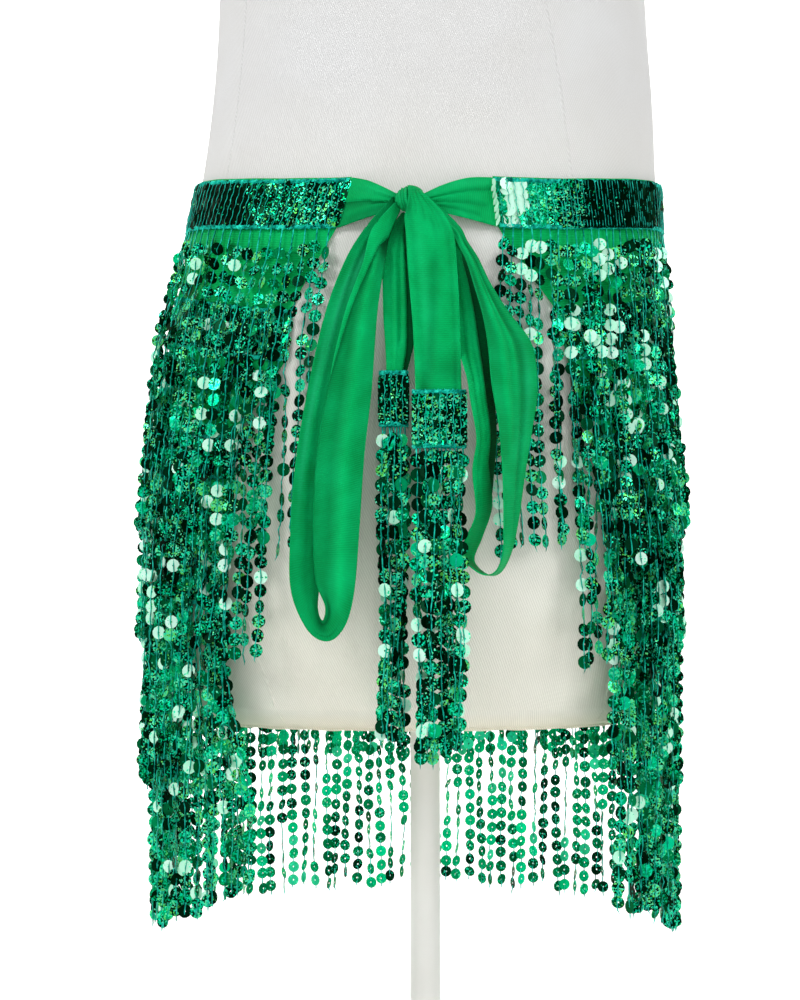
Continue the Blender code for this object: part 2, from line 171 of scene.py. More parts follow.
# %% Points on the form and on the cloth
SMOOTHING = 0.018
SMOOTHING_STEPS = 9
CLOTH_STEPS = 1441
NEAR_ANGLE = 0.01


def section_at(height):
    """Half width and middle at each height: the table read in straight lines, then averaged over a short
    stretch of heights, so that the side is a smooth curve. The stretch shrinks to nothing at the ends."""
    height = np.asarray(height, float)
    low, high = FORM_SECTIONS[3, 0], FORM_SECTIONS[-3, 0]
    reach = np.clip(np.minimum(height - low, high - height), 0.0, SMOOTHING)
    half_width = np.zeros_like(height)
    middle = np.zeros_like(height)
    for share in np.linspace(-1.0, 1.0, SMOOTHING_STEPS):
        at = height + share * reach
        half_width += np.interp(at, FORM_SECTIONS[:, 0], FORM_SECTIONS[:, 1]) / SMOOTHING_STEPS
        middle += np.interp(at, FORM_SECTIONS[:, 0], FORM_SECTIONS[:, 2]) / SMOOTHING_STEPS
    return half_width, middle


def rounded(value):
    """The superellipse's power of a sine or cosine: its size to the power 2 / squareness, with its sign."""
    return np.sign(value) * np.abs(value) ** (2.0 / SQUARENESS)


def on_section(angle, height, half_width, middle):
    """x = middle + half width * rounded sine, y = -(half width - narrower) * rounded cosine."""
    x = middle + half_width * rounded(np.sin(angle))
    y = -(half_width - NARROWER) * rounded(np.cos(angle))
    return stacked(x, y, height)


def front_share(angle):
    """1 at the front, 0 from the sides round the back, with a soft step between."""
    near, far = DIP_ANGLES
    return eased(share_of((far - np.arccos(np.cos(angle))) / (far - near)))


def cloth_height(angle, level):
    """The level's height less its dip, in proportion to how near the front the angle is."""
    return level - np.interp(level, FRONT_EDGES[:, 0], FRONT_EDGES[:, 3]) * front_share(angle)


def on_cloth(angle, level, out):
    """The form's section at the cloth's height, or at its widest place if that is higher, moved out."""
    height = cloth_height(angle, level)
    half_width, middle = section_at(np.maximum(height, WIDEST))
    return on_section(angle, height, half_width + out, middle)


def edge_angle(level, x):
    """The angle at which the level's ring passes x: the rounded sine turned back into an angle."""
    half_width, middle = section_at(np.asarray(level))
    share = (x - middle) / half_width
    return float(np.arcsin(np.sign(share) * np.abs(share) ** (0.5 * SQUARENESS)))


def cloth_span(level):
    """The cloth's first and last angle, from its right front edge round the back to its left one."""
    left, right = (float(np.interp(level, FRONT_EDGES[:, 0], FRONT_EDGES[:, k])) for k in (1, 2))
    return edge_angle(level, right), edge_angle(level, left) + 2.0 * math.pi


def along_cloth(level, out=CLOTH_OUT):
    """Distances along the cloth at a level, and the angle at each: a fine line of points, summed up."""
    start, end = cloth_span(level)
    angles = np.linspace(start, end, CLOTH_STEPS)
    return distance_along(on_cloth(angles, level, out)), angles


def outwards(angle, half_width):
    """Two unit vectors at an angle of a section: along the cloth, and straight out from it. The first is
    the difference of two near points on the section, and the second is the first turned by a quarter."""
    ahead = on_section(angle + NEAR_ANGLE, 0.0, half_width, 0.0)
    along = ahead - on_section(angle - NEAR_ANGLE, 0.0, half_width, 0.0)
    along = along / np.linalg.norm(along, axis=-1, keepdims=True)
    return along, stacked(along[..., 1], -along[..., 0], along[..., 2])


def cloth_outwards(angle, level):
    """The same two vectors at points of the cloth, whose section is the form's, or its widest one."""
    half_width, _ = section_at(np.maximum(level + 0.0 * angle, WIDEST))
    return outwards(angle, half_width)


for number, tier in enumerate(TIERS, 1):
    print("tier", number, "is", round(along_cloth(tier[0])[0][-1] * 1000), "mm long at its band's top")

# %% [markdown]
# ## Mesh helpers
# Every new piece is a grid of points or many small copies of one shape. Filling the mesh from arrays
# takes a fraction of a second where a loop over points would take minutes.

# %% From arrays to meshes
def make_piece(name, points, faces, finish, smooth=True, slot="green_sequins", uv=None, tone=None,
               weld=False):
    """One object at the origin from an array of points and an array of faces with equal corner counts.
    Welding joins points that lie on each other, which closes a seam or a pole."""
    mesh = bpy.data.meshes.new(name)
    points = np.ascontiguousarray(points, float).reshape(-1, 3)
    faces = np.ascontiguousarray(faces, np.int32)
    count, corners = faces.shape
    mesh.vertices.add(len(points))
    mesh.vertices.foreach_set("co", points.ravel())
    mesh.loops.add(count * corners)
    mesh.loops.foreach_set("vertex_index", faces.ravel())
    mesh.polygons.add(count)
    mesh.polygons.foreach_set("loop_start", np.arange(count, dtype=np.int32) * corners)
    mesh.polygons.foreach_set("use_smooth", np.full(count, smooth))
    mesh.update(calc_edges=True)
    if uv is not None:
        layer = mesh.uv_layers.new(name="cloth")
        layer.data.foreach_set("uv", np.asarray(uv, float).reshape(-1, 2)[faces.ravel()].ravel())
    if tone is not None:
        layer = mesh.attributes.new("tone", "FLOAT_COLOR", "POINT")
        layer.data.foreach_set("color", np.ascontiguousarray(tone, float).ravel())
    if weld:
        shape = bmesh.new()
        shape.from_mesh(mesh)
        bmesh.ops.remove_doubles(shape, verts=shape.verts, dist=0.00001)
        bmesh.ops.recalc_face_normals(shape, faces=shape.faces)
        shape.to_mesh(mesh)
        shape.free()
    mesh.validate()
    piece = bpy.data.objects.new(name, mesh)
    bpy.context.scene.collection.objects.link(piece)
    mesh.materials.append(finish)
    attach(piece, "root")
    print(name, len(mesh.polygons), "faces")
    return piece


def grid_faces(rows, columns, closed=False):
    """Quads between neighbouring rows and columns of a grid of points; closed joins the last column to
    the first."""
    i = np.arange(rows - 1)[:, None]
    j = np.arange(columns if closed else columns - 1)[None, :]
    k = (j + 1) % columns
    quads = stacked(i * columns + j, i * columns + k, (i + 1) * columns + k, (i + 1) * columns + j)
    return quads.reshape(-1, 4)


print("a grid of 3 x 4 points has", len(grid_faces(3, 4)), "faces")

# %% [markdown]
# ## Tubes and discs
# Threads, hems and stitches are tubes along a line, and sequins are flat rings. Both are placed by
# vectors, one set for each copy, so a single call makes thousands.

# %% Tubes and discs
TUBE_END = 0.02


def unit(vectors):
    """The vectors divided by their lengths."""
    return vectors / np.maximum(np.linalg.norm(vectors, axis=-1, keepdims=True), 1e-12)


def tubes(paths, radius, sides):
    """A tube along each path, path by path: centre + radius * (cosine * side + sine * front), where side
    and front are square to the path. The radius closes to almost nothing at both ends."""
    paths = np.asarray(paths, float)
    strands, steps, _ = paths.shape
    along = unit(np.gradient(paths, axis=1))
    helper = np.where(np.abs(along[..., 2:3]) > 0.8, (1.0, 0.0, 0.0), (0.0, 0.0, 1.0))
    side = unit(np.cross(along, helper))
    front = np.cross(side, along)
    turn = 2.0 * math.pi * np.arange(sides) / sides
    thick = np.broadcast_to(radius, (strands, steps)).copy()
    thick[:, [0, -1]] *= TUBE_END
    ring = (side[:, :, None, :] * np.cos(turn)[:, None] - front[:, :, None, :] * np.sin(turn)[:, None])
    points = paths[:, :, None, :] + thick[:, :, None, None] * ring
    faces = grid_faces(steps, sides, closed=True)
    faces = faces[None] + (np.arange(strands) * steps * sides)[:, None, None]
    return points.reshape(-1, 3), faces.reshape(-1, 4)


def discs(centres, across, up, radius, hole, corners):
    """Flat rings: centre + radius * (cosine * across + sine * up), an outer and an inner ring of each."""
    turn = 2.0 * math.pi * (np.arange(corners) + 0.5) / corners
    wheel = np.cos(turn)[:, None] * across[:, None, :] + np.sin(turn)[:, None] * up[:, None, :]
    rings = np.stack([centres[:, None, :] + size * wheel for size in (radius, hole)], axis=1)
    faces = grid_faces(2, corners, closed=True)
    faces = faces[None] + (np.arange(len(centres)) * 2 * corners)[:, None, None]
    return rings.reshape(-1, 3), faces.reshape(-1, 4)


def together(*parts):
    """Several (points, faces) pairs as one."""
    shift = np.cumsum([0] + [len(points) for points, _ in parts[:-1]])
    points = np.concatenate([points for points, _ in parts])
    faces = np.concatenate([faces + start for (_, faces), start in zip(parts, shift)])
    return points, faces


print("a tube's ends are", TUBE_END, "of its thickness")

# %% [markdown]
# ## Camera
# A product picture of a skirt is taken from waist height or lower. This one looks slightly up, from just
# under a metre away, so the back of the fringe shows below the form. The lens is a short portrait lens.

# %% Place the camera
CAMERA_AT = (-0.017, -0.970, 0.331)
SENSOR = 36.0
PICTURE_HIGH = 1000.0
FOCAL_PIXELS = 1418.0
HORIZON_PIXELS = 100.0
LOOK_UP = math.atan(HORIZON_PIXELS / FOCAL_PIXELS)
LENS = SENSOR * FOCAL_PIXELS / PICTURE_HIGH
camera_data = bpy.data.cameras.new("camera")
camera_data.lens = LENS
camera_data.sensor_width = SENSOR
camera = bpy.data.objects.new("camera", camera_data)
camera.location = CAMERA_AT
camera.rotation_euler = (math.radians(90.0) + LOOK_UP, 0.0, 0.0)
bpy.context.scene.collection.objects.link(camera)
bpy.context.scene.camera = camera
print("lens", round(LENS, 2), "mm, looking up", round(math.degrees(LOOK_UP), 2), "degrees")

# %% [markdown]
# ## Studio
# Sequins show what is round them. A pale sweep of paper behind and below keeps the ground plain, and a
# few large soft lights give each tilted sequin something bright or something dim to mirror.

# %% Sweep of paper, lights and air
SWEEP_WIDE = 12.0
SWEEP_NEAR = -3.0
SWEEP_BACK = 2.6
SWEEP_HIGH = 4.0
SWEEP_BEND = 0.9
AIR_STRENGTH = 0.42


def plain_material(name, colour, roughness, metallic=0.0):
    """A Principled material with its values set on the shader."""
    new = bpy.data.materials.new(name)
    new.use_nodes = True
    shader = new.node_tree.nodes["Principled BSDF"]
    shader.inputs["Base Color"].default_value = (*colour, 1.0)
    shader.inputs["Roughness"].default_value = roughness
    shader.inputs["Metallic"].default_value = metallic
    return new, new.node_tree, shader


def make_sweep():
    """Floor, a quarter circle, then wall: the profile of a roll of paper, carried straight across."""
    turn = np.linspace(0.0, 0.5 * math.pi, 13)
    bend_y = SWEEP_BACK - SWEEP_BEND + SWEEP_BEND * np.sin(turn)
    bend_z = SWEEP_BEND - SWEEP_BEND * np.cos(turn)
    y = np.concatenate(([SWEEP_NEAR], bend_y, [SWEEP_BACK]))
    z = np.concatenate(([0.0], bend_z, [SWEEP_HIGH]))
    x = np.array((-0.5, 0.5)) * SWEEP_WIDE
    points = stacked(x[None, :], y[:, None], z[:, None])
    paper, _, _ = plain_material("pale_paper", (0.90, 0.90, 0.89), 0.9)
    mesh = bpy.data.meshes.new("paper_sweep")
    mesh.from_pydata(points.reshape(-1, 3).tolist(), [], grid_faces(len(y), 2).tolist())
    mesh.shade_smooth()
    mesh.materials.append(paper)
    sweep = bpy.data.objects.new("paper_sweep", mesh)
    bpy.context.scene.collection.objects.link(sweep)


def soft_light(name, place, target, size, power):
    """A square area light at a place, facing a target."""
    data = bpy.data.lights.new(name, "AREA")
    data.shape = "SQUARE"
    data.size = size
    data.energy = power
    light = bpy.data.objects.new(name, data)
    light.location = place
    away = np.asarray(target, float) - np.asarray(place, float)
    flat = math.hypot(away[0], away[1])
    light.rotation_euler = (math.atan2(flat, -away[2]), 0.0, math.atan2(-away[0], away[1]))
    bpy.context.scene.collection.objects.link(light)


# name, place, target, size in metres, power in watts
LIGHTS = (
    ("key_left", (-1.7, -1.6, 1.9), (0.0, 0.0, 0.45), 1.0, 34.0),
    ("key_right", (1.9, -1.3, 1.3), (0.0, 0.0, 0.45), 1.0, 20.0),
    ("front_low", (0.1, -2.4, 0.5), (0.0, 0.0, 0.40), 0.8, 5.0),
    ("back_left", (-2.2, 1.2, 1.6), (0.0, 0.0, 0.45), 1.2, 4.0),
    ("back_right", (2.2, 1.2, 1.6), (0.0, 0.0, 0.45), 1.2, 4.0),
    ("paper_light", (0.0, 1.2, 2.4), (0.0, 2.6, 1.15), 1.6, 82.0),
)
make_sweep()
for row in LIGHTS:
    soft_light(*row)
air = bpy.data.worlds.new("air")
bpy.context.scene.world = air
air.use_nodes = True
air.node_tree.nodes["Background"].inputs["Color"].default_value = (1.0, 1.0, 1.0, 1.0)
air.node_tree.nodes["Background"].inputs["Strength"].default_value = AIR_STRENGTH
bpy.context.scene.view_settings.view_transform = "Standard"
print("lights:", len(LIGHTS))

# %% [markdown]
# ## Finishes
# Four kinds of surface meet here. The form wears a cream cotton twill, a weave of fine slanting ribs.
# The scarf and its ties are sheer green mesh with fine ribs across. The sequins are see-through green
# plastic with a foil of tiny facets, so that one is nearly black, the next is full of sparks and the
# next mirrors a lamp. The thread that holds them is a shiny teal. Finishes are built from nodes, so a few
# helpers for the nodes that come again and again are made first.

# %% Node helpers
def add_node(tree, kind, values=None, **settings):
    """A node with its settings, and its inputs joined to sockets or set to values."""
    node = tree.nodes.new(kind)
    for key, value in settings.items():
        setattr(node, key, value)
    for key, value in (values or {}).items():
        if isinstance(value, bpy.types.NodeSocket):
            tree.links.new(value, node.inputs[key])
        else:
            node.inputs[key].default_value = value
    return node


def ramp(tree, fac, stops, mode="LINEAR"):
    """A colour ramp's colour output; stops are (position, colour)."""
    node = add_node(tree, "ShaderNodeValToRGB", {"Fac": fac})
    node.color_ramp.interpolation = mode
    elements = node.color_ramp.elements
    while len(elements) < len(stops):
        elements.new(0.5)
    for element, (position, colour) in zip(elements, stops):
        element.position = position
        element.color = (*colour, 1.0)
    return node.outputs["Color"]


def mix(tree, fac, first, second, blend="MIX"):
    """Two colours mixed."""
    node = add_node(tree, "ShaderNodeMix", data_type="RGBA", blend_type=blend)
    for socket, value in ((node.inputs[0], fac), (node.inputs[6], first), (node.inputs[7], second)):
        if isinstance(value, bpy.types.NodeSocket):
            tree.links.new(value, socket)
        elif isinstance(value, tuple):
            socket.default_value = (*value, 1.0)
        else:
            socket.default_value = value
    return node.outputs[2]


def math_node(tree, operation, *values):
    """A Math node's output."""
    node = add_node(tree, "ShaderNodeMath", dict(enumerate(values)), operation=operation)
    return node.outputs[0]


def noise(tree, vector, scale, detail):
    """A noise texture's value."""
    return add_node(tree, "ShaderNodeTexNoise",
                    {"Vector": vector, "Scale": scale, "Detail": detail}).outputs["Fac"]


def ribs_of(tree, vector, scale, distortion, detail, detail_scale, direction):
    """A wave texture's value, as straight ribs across a direction."""
    return add_node(tree, "ShaderNodeTexWave", {
        "Vector": vector, "Scale": scale, "Distortion": distortion, "Detail": detail,
        "Detail Scale": detail_scale}, wave_type="BANDS", bands_direction=direction).outputs["Fac"]


def ranged(tree, value, low, high, first, last):
    """A value between low and high, read as one between first and last."""
    return add_node(tree, "ShaderNodeMapRange", {
        "Value": value, "From Min": low, "From Max": high, "To Min": first, "To Max": last}).outputs["Result"]


def object_place(tree):
    """The surface's own place, in metres."""
    return add_node(tree, "ShaderNodeTexCoord").outputs["Object"]


def cloth_place(tree):
    """The place on the flat cloth, in metres."""
    return add_node(tree, "ShaderNodeUVMap", uv_map="cloth").outputs[0]


def own_values(tree):
    """The three values painted on the piece, as red, green and blue."""
    own = add_node(tree, "ShaderNodeAttribute", attribute_name="tone").outputs["Color"]
    return add_node(tree, "ShaderNodeSeparateColor", {0: own}).outputs


def set_surface(tree, shader, colour, gloss, tint=(1.0, 1.0, 1.0)):
    """Joins the colour to the shader, and sets how strongly and in what tint it is glossy."""
    tree.links.new(colour, shader.inputs["Base Color"])
    shader.inputs["Specular IOR Level"].default_value = gloss
    shader.inputs["Specular Tint"].default_value = (*tint, 1.0)


def bump(tree, shader, height, strength, distance):
    """Raises the surface's shading by a height."""
    node = add_node(tree, "ShaderNodeBump", {"Height": height, "Strength": strength, "Distance": distance})
    tree.links.new(node.outputs["Normal"], shader.inputs["Normal"])


def with_light_through(tree, shader, colour, share):
    """Lets a share of the light through the sheet, coloured."""
    plain = not isinstance(colour, bpy.types.NodeSocket)
    through = add_node(tree, "ShaderNodeBsdfTranslucent", {"Color": (*colour, 1.0) if plain else colour})
    both = add_node(tree, "ShaderNodeMixShader", {0: share, 1: shader.outputs[0], 2: through.outputs[0]})
    tree.links.new(both.outputs[0], tree.nodes["Material Output"].inputs["Surface"])


print("made with nodes:", [tool.__name__ for tool in (noise, ribs_of, ramp, mix, ranged, bump)])

# %% [markdown]
# ## Cream twill
# Cotton twill shows steep slanting ribs. A picture of cloth would blur close up, so a wave texture on
# the cover's own flat coordinates draws the ribs, with fine noise for the yarn.

# %% Cream twill
TWILL_SLANT = math.radians(-25.0)


def make_twill():
    """Steep ribs 1.4 mm apart on the piece's own UV, in metres, over a soft mottle; warmer lower down."""
    new, tree, shader = plain_material("cream_twill", (0.84, 0.82, 0.77), 0.9)
    uv = cloth_place(tree)
    place = object_place(tree)
    slanted = add_node(tree, "ShaderNodeMapping", {"Vector": uv, "Rotation": (0.0, 0.0, TWILL_SLANT)})
    ribs = ribs_of(tree, slanted.outputs[0], 225.0, 1.2, 2.0, 3.0, "X")
    yarn = noise(tree, uv, 900.0, 2.0)
    mottle = noise(tree, place, 14.0, 4.0)
    height = add_node(tree, "ShaderNodeSeparateXYZ", {0: place}).outputs["Z"]
    warm = ramp(tree, height, ((0.25, (0.90, 0.85, 0.69)), (0.262, (0.88, 0.865, 0.78)),
                               (0.42, (0.85, 0.850, 0.800)), (0.66, (0.715, 0.718, 0.722))))
    shade = ramp(tree, ribs, ((0.0, (0.86, 0.855, 0.845)), (0.6, (1.0, 1.0, 1.0))))
    cloudy = ramp(tree, mottle, ((0.3, (0.95, 0.94, 0.92)), (0.7, (1.0, 1.0, 1.0))))
    colour = mix(tree, 1.0, mix(tree, 1.0, warm, shade, "MULTIPLY"), cloudy, "MULTIPLY")
    set_surface(tree, shader, colour, 0.10)
    bump(tree, shader, math_node(tree, "ADD", ribs, yarn), 0.35, 0.0004)
    return new


twill = make_twill()
print("finish:", twill.name)

# %% [markdown]
# ## Stand paint
# A metal stand is sprayed and then handled for years. Noise gives the paint a faint unevenness and
# makes it glossier in one place than in the next, which a single value can't.

# %% Stand paint
def make_paint():
    """Satin cream paint: a faint orange peel, and a soft mottle that is a little lighter or darker and
    glossier in places.
    """
    new, tree, shader = plain_material("stand_paint", (0.82, 0.81, 0.78), 0.32)
    place = object_place(tree)
    peel = noise(tree, place, 380.0, 2.0)
    cloud = noise(tree, place, 9.0, 5.0)
    colour = ramp(tree, cloud, ((0.3, (0.78, 0.77, 0.735)), (0.65, (0.86, 0.855, 0.83))))
    tree.links.new(colour, shader.inputs["Base Color"])
    tree.links.new(ranged(tree, cloud, 0.0, 1.0, 0.26, 0.42), shader.inputs["Roughness"])
    bump(tree, shader, peel, 0.08, 0.0002)
    return new


paint = make_paint()
print("finish:", paint.name)

# %% [markdown]
# ## Green mesh cloth
# Stretch mesh is thin enough for light to come through, with fine ribs across. Modelled threads would
# be far too many, so the ribs are a texture, and a share of the light passes the sheet. Panel and ties
# are the same cloth; the ties also have shade and light painted on them.

# %% Green mesh cloth
def make_mesh_cloth(name, dark, light, through, painted):
    """Fine ribs 1.3 mm apart along U of the cloth's own UV, in metres, over a soft mottle. Painted cloth
    is darkened by its tone's red, painted shade where folds shade each other, and lightened by the green,
    painted light where the sheer cloth looks lighter."""
    new, tree, shader = plain_material(name, (0.001, 0.40, 0.095), 0.55)
    uv = cloth_place(tree)
    ribs = ribs_of(tree, uv, 245.0, 0.5, 1.0, 2.0, "Y")
    weave = noise(tree, uv, 1100.0, 1.0)
    cloud = noise(tree, uv, 34.0, 3.0)
    base = ramp(tree, cloud, ((0.30, dark), (0.70, light)))
    rib_shade = ramp(tree, ribs, ((0.0, (0.45, 0.70, 0.62)), (1.0, (1.0, 1.0, 1.0))))
    patchy = ranged(tree, cloud, 0.38, 0.62, 1.0, 0.25)
    colour = mix(tree, patchy, base, rib_shade, "MULTIPLY")
    if painted:
        own = own_values(tree)
        # The tone's green lightens the cloth as painted light, and its red darkens it as painted shade.
        colour = mix(tree, own["Green"], colour, (0.03, 0.82, 0.36))
        dim = mix(tree, own["Red"], (1.0, 1.0, 1.0), (0.10, 0.13, 0.11))
        colour = mix(tree, 1.0, colour, dim, "MULTIPLY")
        through = mix(tree, 1.0, through, dim, "MULTIPLY")
    set_surface(tree, shader, colour, 0.12, (0.30, 1.0, 0.60))
    bump(tree, shader, math_node(tree, "ADD", ribs, math_node(tree, "MULTIPLY", weave, 0.5)), 0.5, 0.0003)
    with_light_through(tree, shader, through, 0.22)
    return new


panel_cloth = make_mesh_cloth("panel_mesh_cloth", (0.0007, 0.53, 0.132), (0.0014, 0.62, 0.165),
                              (0.0, 0.60, 0.15), False)
tie_cloth = make_mesh_cloth("tie_mesh_cloth", (0.0004, 0.47, 0.120), (0.0015, 0.63, 0.190),
                            (0.0, 0.60, 0.16), True)
print("finishes:", panel_cloth.name, tie_cloth.name)

# %% [markdown]
# ## Sequin foil
# A sequin is clear green plastic over a foil pressed into tiny facets, and each facet mirrors something
# else. Cut facets would cost millions of faces. A cell texture gives each facet its own number instead,
# and three numbers on the sequin itself choose how many of them spark and in what green. So the sparks
# are painted glints, and each sequin's tone is a painted reflection, from nearly black to the mint white
# of a mirrored lamp.

# %% Sequin foil
SPARK_SIZE = 0.95 * MM


def make_sequin():
    """Three values ride on each sequin: its tone, a painted reflection from near black to mint white, how
    many sparks it has, and their hue. Cells a little under a millimetre across are sparks, painted glints,
    where their own chance number is below the sequin's share."""
    new, tree, shader = plain_material("sequin_foil", (0.0, 0.1, 0.04), 0.22, 0.55)
    place = object_place(tree)
    own = own_values(tree)
    cells = add_node(tree, "ShaderNodeTexVoronoi", {"Vector": place, "Scale": 1.0 / SPARK_SIZE})
    numbers = add_node(tree, "ShaderNodeSeparateColor", {0: cells.outputs["Color"]}).outputs
    # Base colour by tone, a painted reflection: near black where a sequin mirrors the dark, mint white where
    # it mirrors a lamp.
    base = ramp(tree, own["Red"], (
        (0.00, (0.0001, 0.006, 0.002)), (0.35, (0.0002, 0.020, 0.007)), (0.60, (0.0004, 0.130, 0.042)),
        (0.80, (0.0006, 0.400, 0.150)), (0.92, (0.0010, 0.620, 0.330)), (0.95, (0.500, 1.000, 0.740)),
        (1.00, (0.680, 1.000, 0.860))))
    hue = math_node(tree, "MULTIPLY", math_node(tree, "ADD", own["Blue"], numbers["Blue"]), 0.5)
    # Sparks are painted glints of the foil's facets.
    spark = ramp(tree, hue, (
        (0.18, (0.000, 0.460, 0.130)), (0.36, (0.000, 0.760, 0.400)), (0.50, (0.006, 1.000, 0.560)),
        (0.64, (0.160, 1.000, 0.600)), (0.84, (0.160, 0.900, 0.130))))
    lit = math_node(tree, "LESS_THAN", numbers["Green"], own["Green"])
    set_surface(tree, shader, mix(tree, lit, base, spark), 0.15, (0.05, 0.60, 0.26))
    mirror = ranged(tree, own["Red"], 0.90, 0.95, 0.55, 0.08)
    matt = math_node(tree, "MULTIPLY_ADD", lit, -0.55, 1.0)
    tree.links.new(math_node(tree, "MULTIPLY", mirror, matt), shader.inputs["Metallic"])
    bump(tree, shader, numbers["Red"], 0.15, 0.0002)
    glow = ramp(tree, own["Red"], ((0.35, (0.0, 0.030, 0.010)), (0.60, (0.0, 0.450, 0.140)),
                                   (0.90, (0.0, 0.900, 0.330)), (1.00, (0.4, 0.950, 0.650))))
    with_light_through(tree, shader, glow, ranged(tree, own["Red"], 0.90, 0.95, 0.22, 0.04))
    return new


sequin_foil = make_sequin()
print("finish:", sequin_foil.name)

# %% [markdown]
# ## Thread
# The thread is a shiny twisted yarn. It is under a millimetre thick, so a little noise is enough to
# make it lighter and darker along its length.

# %% Thread
def make_thread():
    """Shiny teal thread, lighter and darker in short lengths, with a twist raised across it."""
    new, tree, shader = plain_material("teal_thread", (0.004, 0.30, 0.22), 0.45)
    patch = noise(tree, object_place(tree), 260.0, 3.0)
    colour = ramp(tree, patch, ((0.32, (0.001, 0.17, 0.120)), (0.48, (0.004, 0.45, 0.330)),
                                (0.64, (0.025, 0.80, 0.600))))
    set_surface(tree, shader, colour, 0.16, (0.12, 0.90, 0.75))
    bump(tree, shader, patch, 0.4, 0.0004)
    return new


teal_thread = make_thread()
print("finish:", teal_thread.name)

# %% [markdown]
# ## Dress form
# A dress form is papier mache or foam under a sewn cover. Its cover has seams from waist to hip where
# the panels meet, and its lower edge is folded under. The body is the rounded section carried up
# through the table of heights; the seams are thin cords laid half into the surface.

# %% The covered body
FORM_AROUND = 180
FORM_ROWS = 124


def make_form():
    """The form's section at each height and angle, as one closed surface with its ends filled."""
    low, high = FORM_SECTIONS[0, 0], FORM_SECTIONS[-1, 0]
    even = np.linspace(low, high, FORM_ROWS)
    height = np.unique(np.round(np.concatenate((even, FORM_SECTIONS[:4, 0], FORM_SECTIONS[-3:, 0])), 5))
    half_width, middle = section_at(height)
    angle = 2.0 * math.pi * np.arange(FORM_AROUND + 1) / FORM_AROUND
    points = on_section(angle[None, :], height[:, None], half_width[:, None], middle[:, None])
    lowest, highest = (np.broadcast_to(ring.mean(axis=1, keepdims=True), ring.shape)
                       for ring in (points[:1], points[-1:]))
    rows = np.concatenate((lowest, points, highest))
    uv = stacked(distance_along(points[len(height) // 2])[None, :], height[:, None])
    uv = np.concatenate((uv[:1], uv, uv[-1:]))
    return make_piece("form_cover", rows, grid_faces(len(height) + 2, FORM_AROUND + 1), twill,
                      slot="cream_twill", uv=uv, weld=True)


form_cover = make_form()
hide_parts("form_body")

# %% [markdown]
# ## Seams of the form's cover
# Where two panels of the cover are sewn together the seam allowance lies behind, and the seam shows as a
# thin welt. Each seam is a line of angles up the form, drawn as a cord partly sunk into the twill.

# %% Seams and folded lower edge
WELT_RADIUS = 0.55 * MM
WELT_SUNK = 0.35
HEM_RADIUS = 1.5 * MM
HEM_SUNK = 0.4
SCARF_TOP = 0.615
# angle round the form in degrees at the lower edge, at the hips, at the scarf's top and at the waist
SEAMS = (
    (-31.0, -44.0, -55.0, -54.0),
    (50.0, 42.0, 31.0, 20.0),
    (122.0, 128.0, 124.0, 120.0),
    (-122.0, -128.0, -124.0, -120.0),
)


def form_points(angle, height, out):
    """The form's surface at angles and heights, moved out."""
    half_width, middle = section_at(height)
    return on_section(angle, height, half_width + out, middle)


def make_seams():
    """A welt along each seam, and the folded edge of the cover round the form's underside."""
    height = np.linspace(FORM_SECTIONS[0, 0] + 0.001, FORM_SECTIONS[-1, 0] - 0.0045, 120)
    at = (FORM_SECTIONS[0, 0], WIDEST, SCARF_TOP, FORM_SECTIONS[-1, 0])
    sunk = -WELT_SUNK * WELT_RADIUS
    paths = [form_points(np.radians(np.interp(height, at, seam)), height, sunk) for seam in SEAMS]
    welts = tubes(paths, WELT_RADIUS, 6)
    turn = np.linspace(0.0, 2.0 * math.pi, 361)
    wave = 0.25 * MM * np.sin(23.0 * turn) + 0.2 * MM * np.sin(41.0 * turn)
    low = FORM_SECTIONS[0, 0] + HEM_RADIUS + wave
    edge = tubes([form_points(turn, low, -HEM_SUNK * HEM_RADIUS)], HEM_RADIUS, 8)
    points, faces = together(welts, edge)
    uv = stacked(points[:, 0], points[:, 2])
    make_piece("form_seams", points, faces, twill, slot="cream_twill", uv=uv)


make_seams()

# %% [markdown]
# ## Stand
# The form's own stand is hidden in the photograph, so this is the plainest one: a turned plate and a
# pole. Each is half an outline carried round its axis.

# %% Pole and base plate
BASE_RADIUS = 0.150
BASE_HEIGHT = 0.014
BASE_RIM = 0.004
POLE_RADIUS = 0.0100
TURNED_AROUND = 128
SHARP = math.radians(40.0)
ROUNDED = 0.002


def turned(name, outline, node):
    """The outline's radius * (cosine, sine) at each angle, at the outline's height."""
    outline = np.asarray(outline)
    turn = 2.0 * math.pi * np.arange(TURNED_AROUND) / TURNED_AROUND
    radius, height = outline[:, None, 0], outline[:, None, 1]
    points = stacked(radius * np.cos(turn), radius * np.sin(turn), height)
    piece = make_piece(name, points, grid_faces(len(outline), TURNED_AROUND, closed=True), paint,
                       slot="cream_paint", weld=True)
    piece.data.set_sharp_from_angle(angle=SHARP)
    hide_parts(node)


def arc(middle_r, middle_z, radius, first, last, steps=6):
    """Points of an arc of the outline, from one angle to another in degrees, 0 outwards and 90 up."""
    turn = np.radians(np.linspace(first, last, steps))
    return [(middle_r + radius * math.cos(a), middle_z + radius * math.sin(a)) for a in turn]


plate = [(0.0, 0.0)] + arc(BASE_RADIUS - ROUNDED, ROUNDED, ROUNDED, -90.0, 0.0)
plate += arc(BASE_RADIUS - BASE_RIM, BASE_HEIGHT - BASE_RIM, BASE_RIM, 0.0, 90.0) + [(0.0, BASE_HEIGHT)]
turned("stand_plate", plate, "stand_base")
foot = BASE_HEIGHT + GAP
head = FORM_SECTIONS[0, 0] - GAP
pole = [(0.0, foot), (POLE_RADIUS, foot), (POLE_RADIUS, head), (0.0, head)]
turned("stand_tube", pole, "stand_pole")

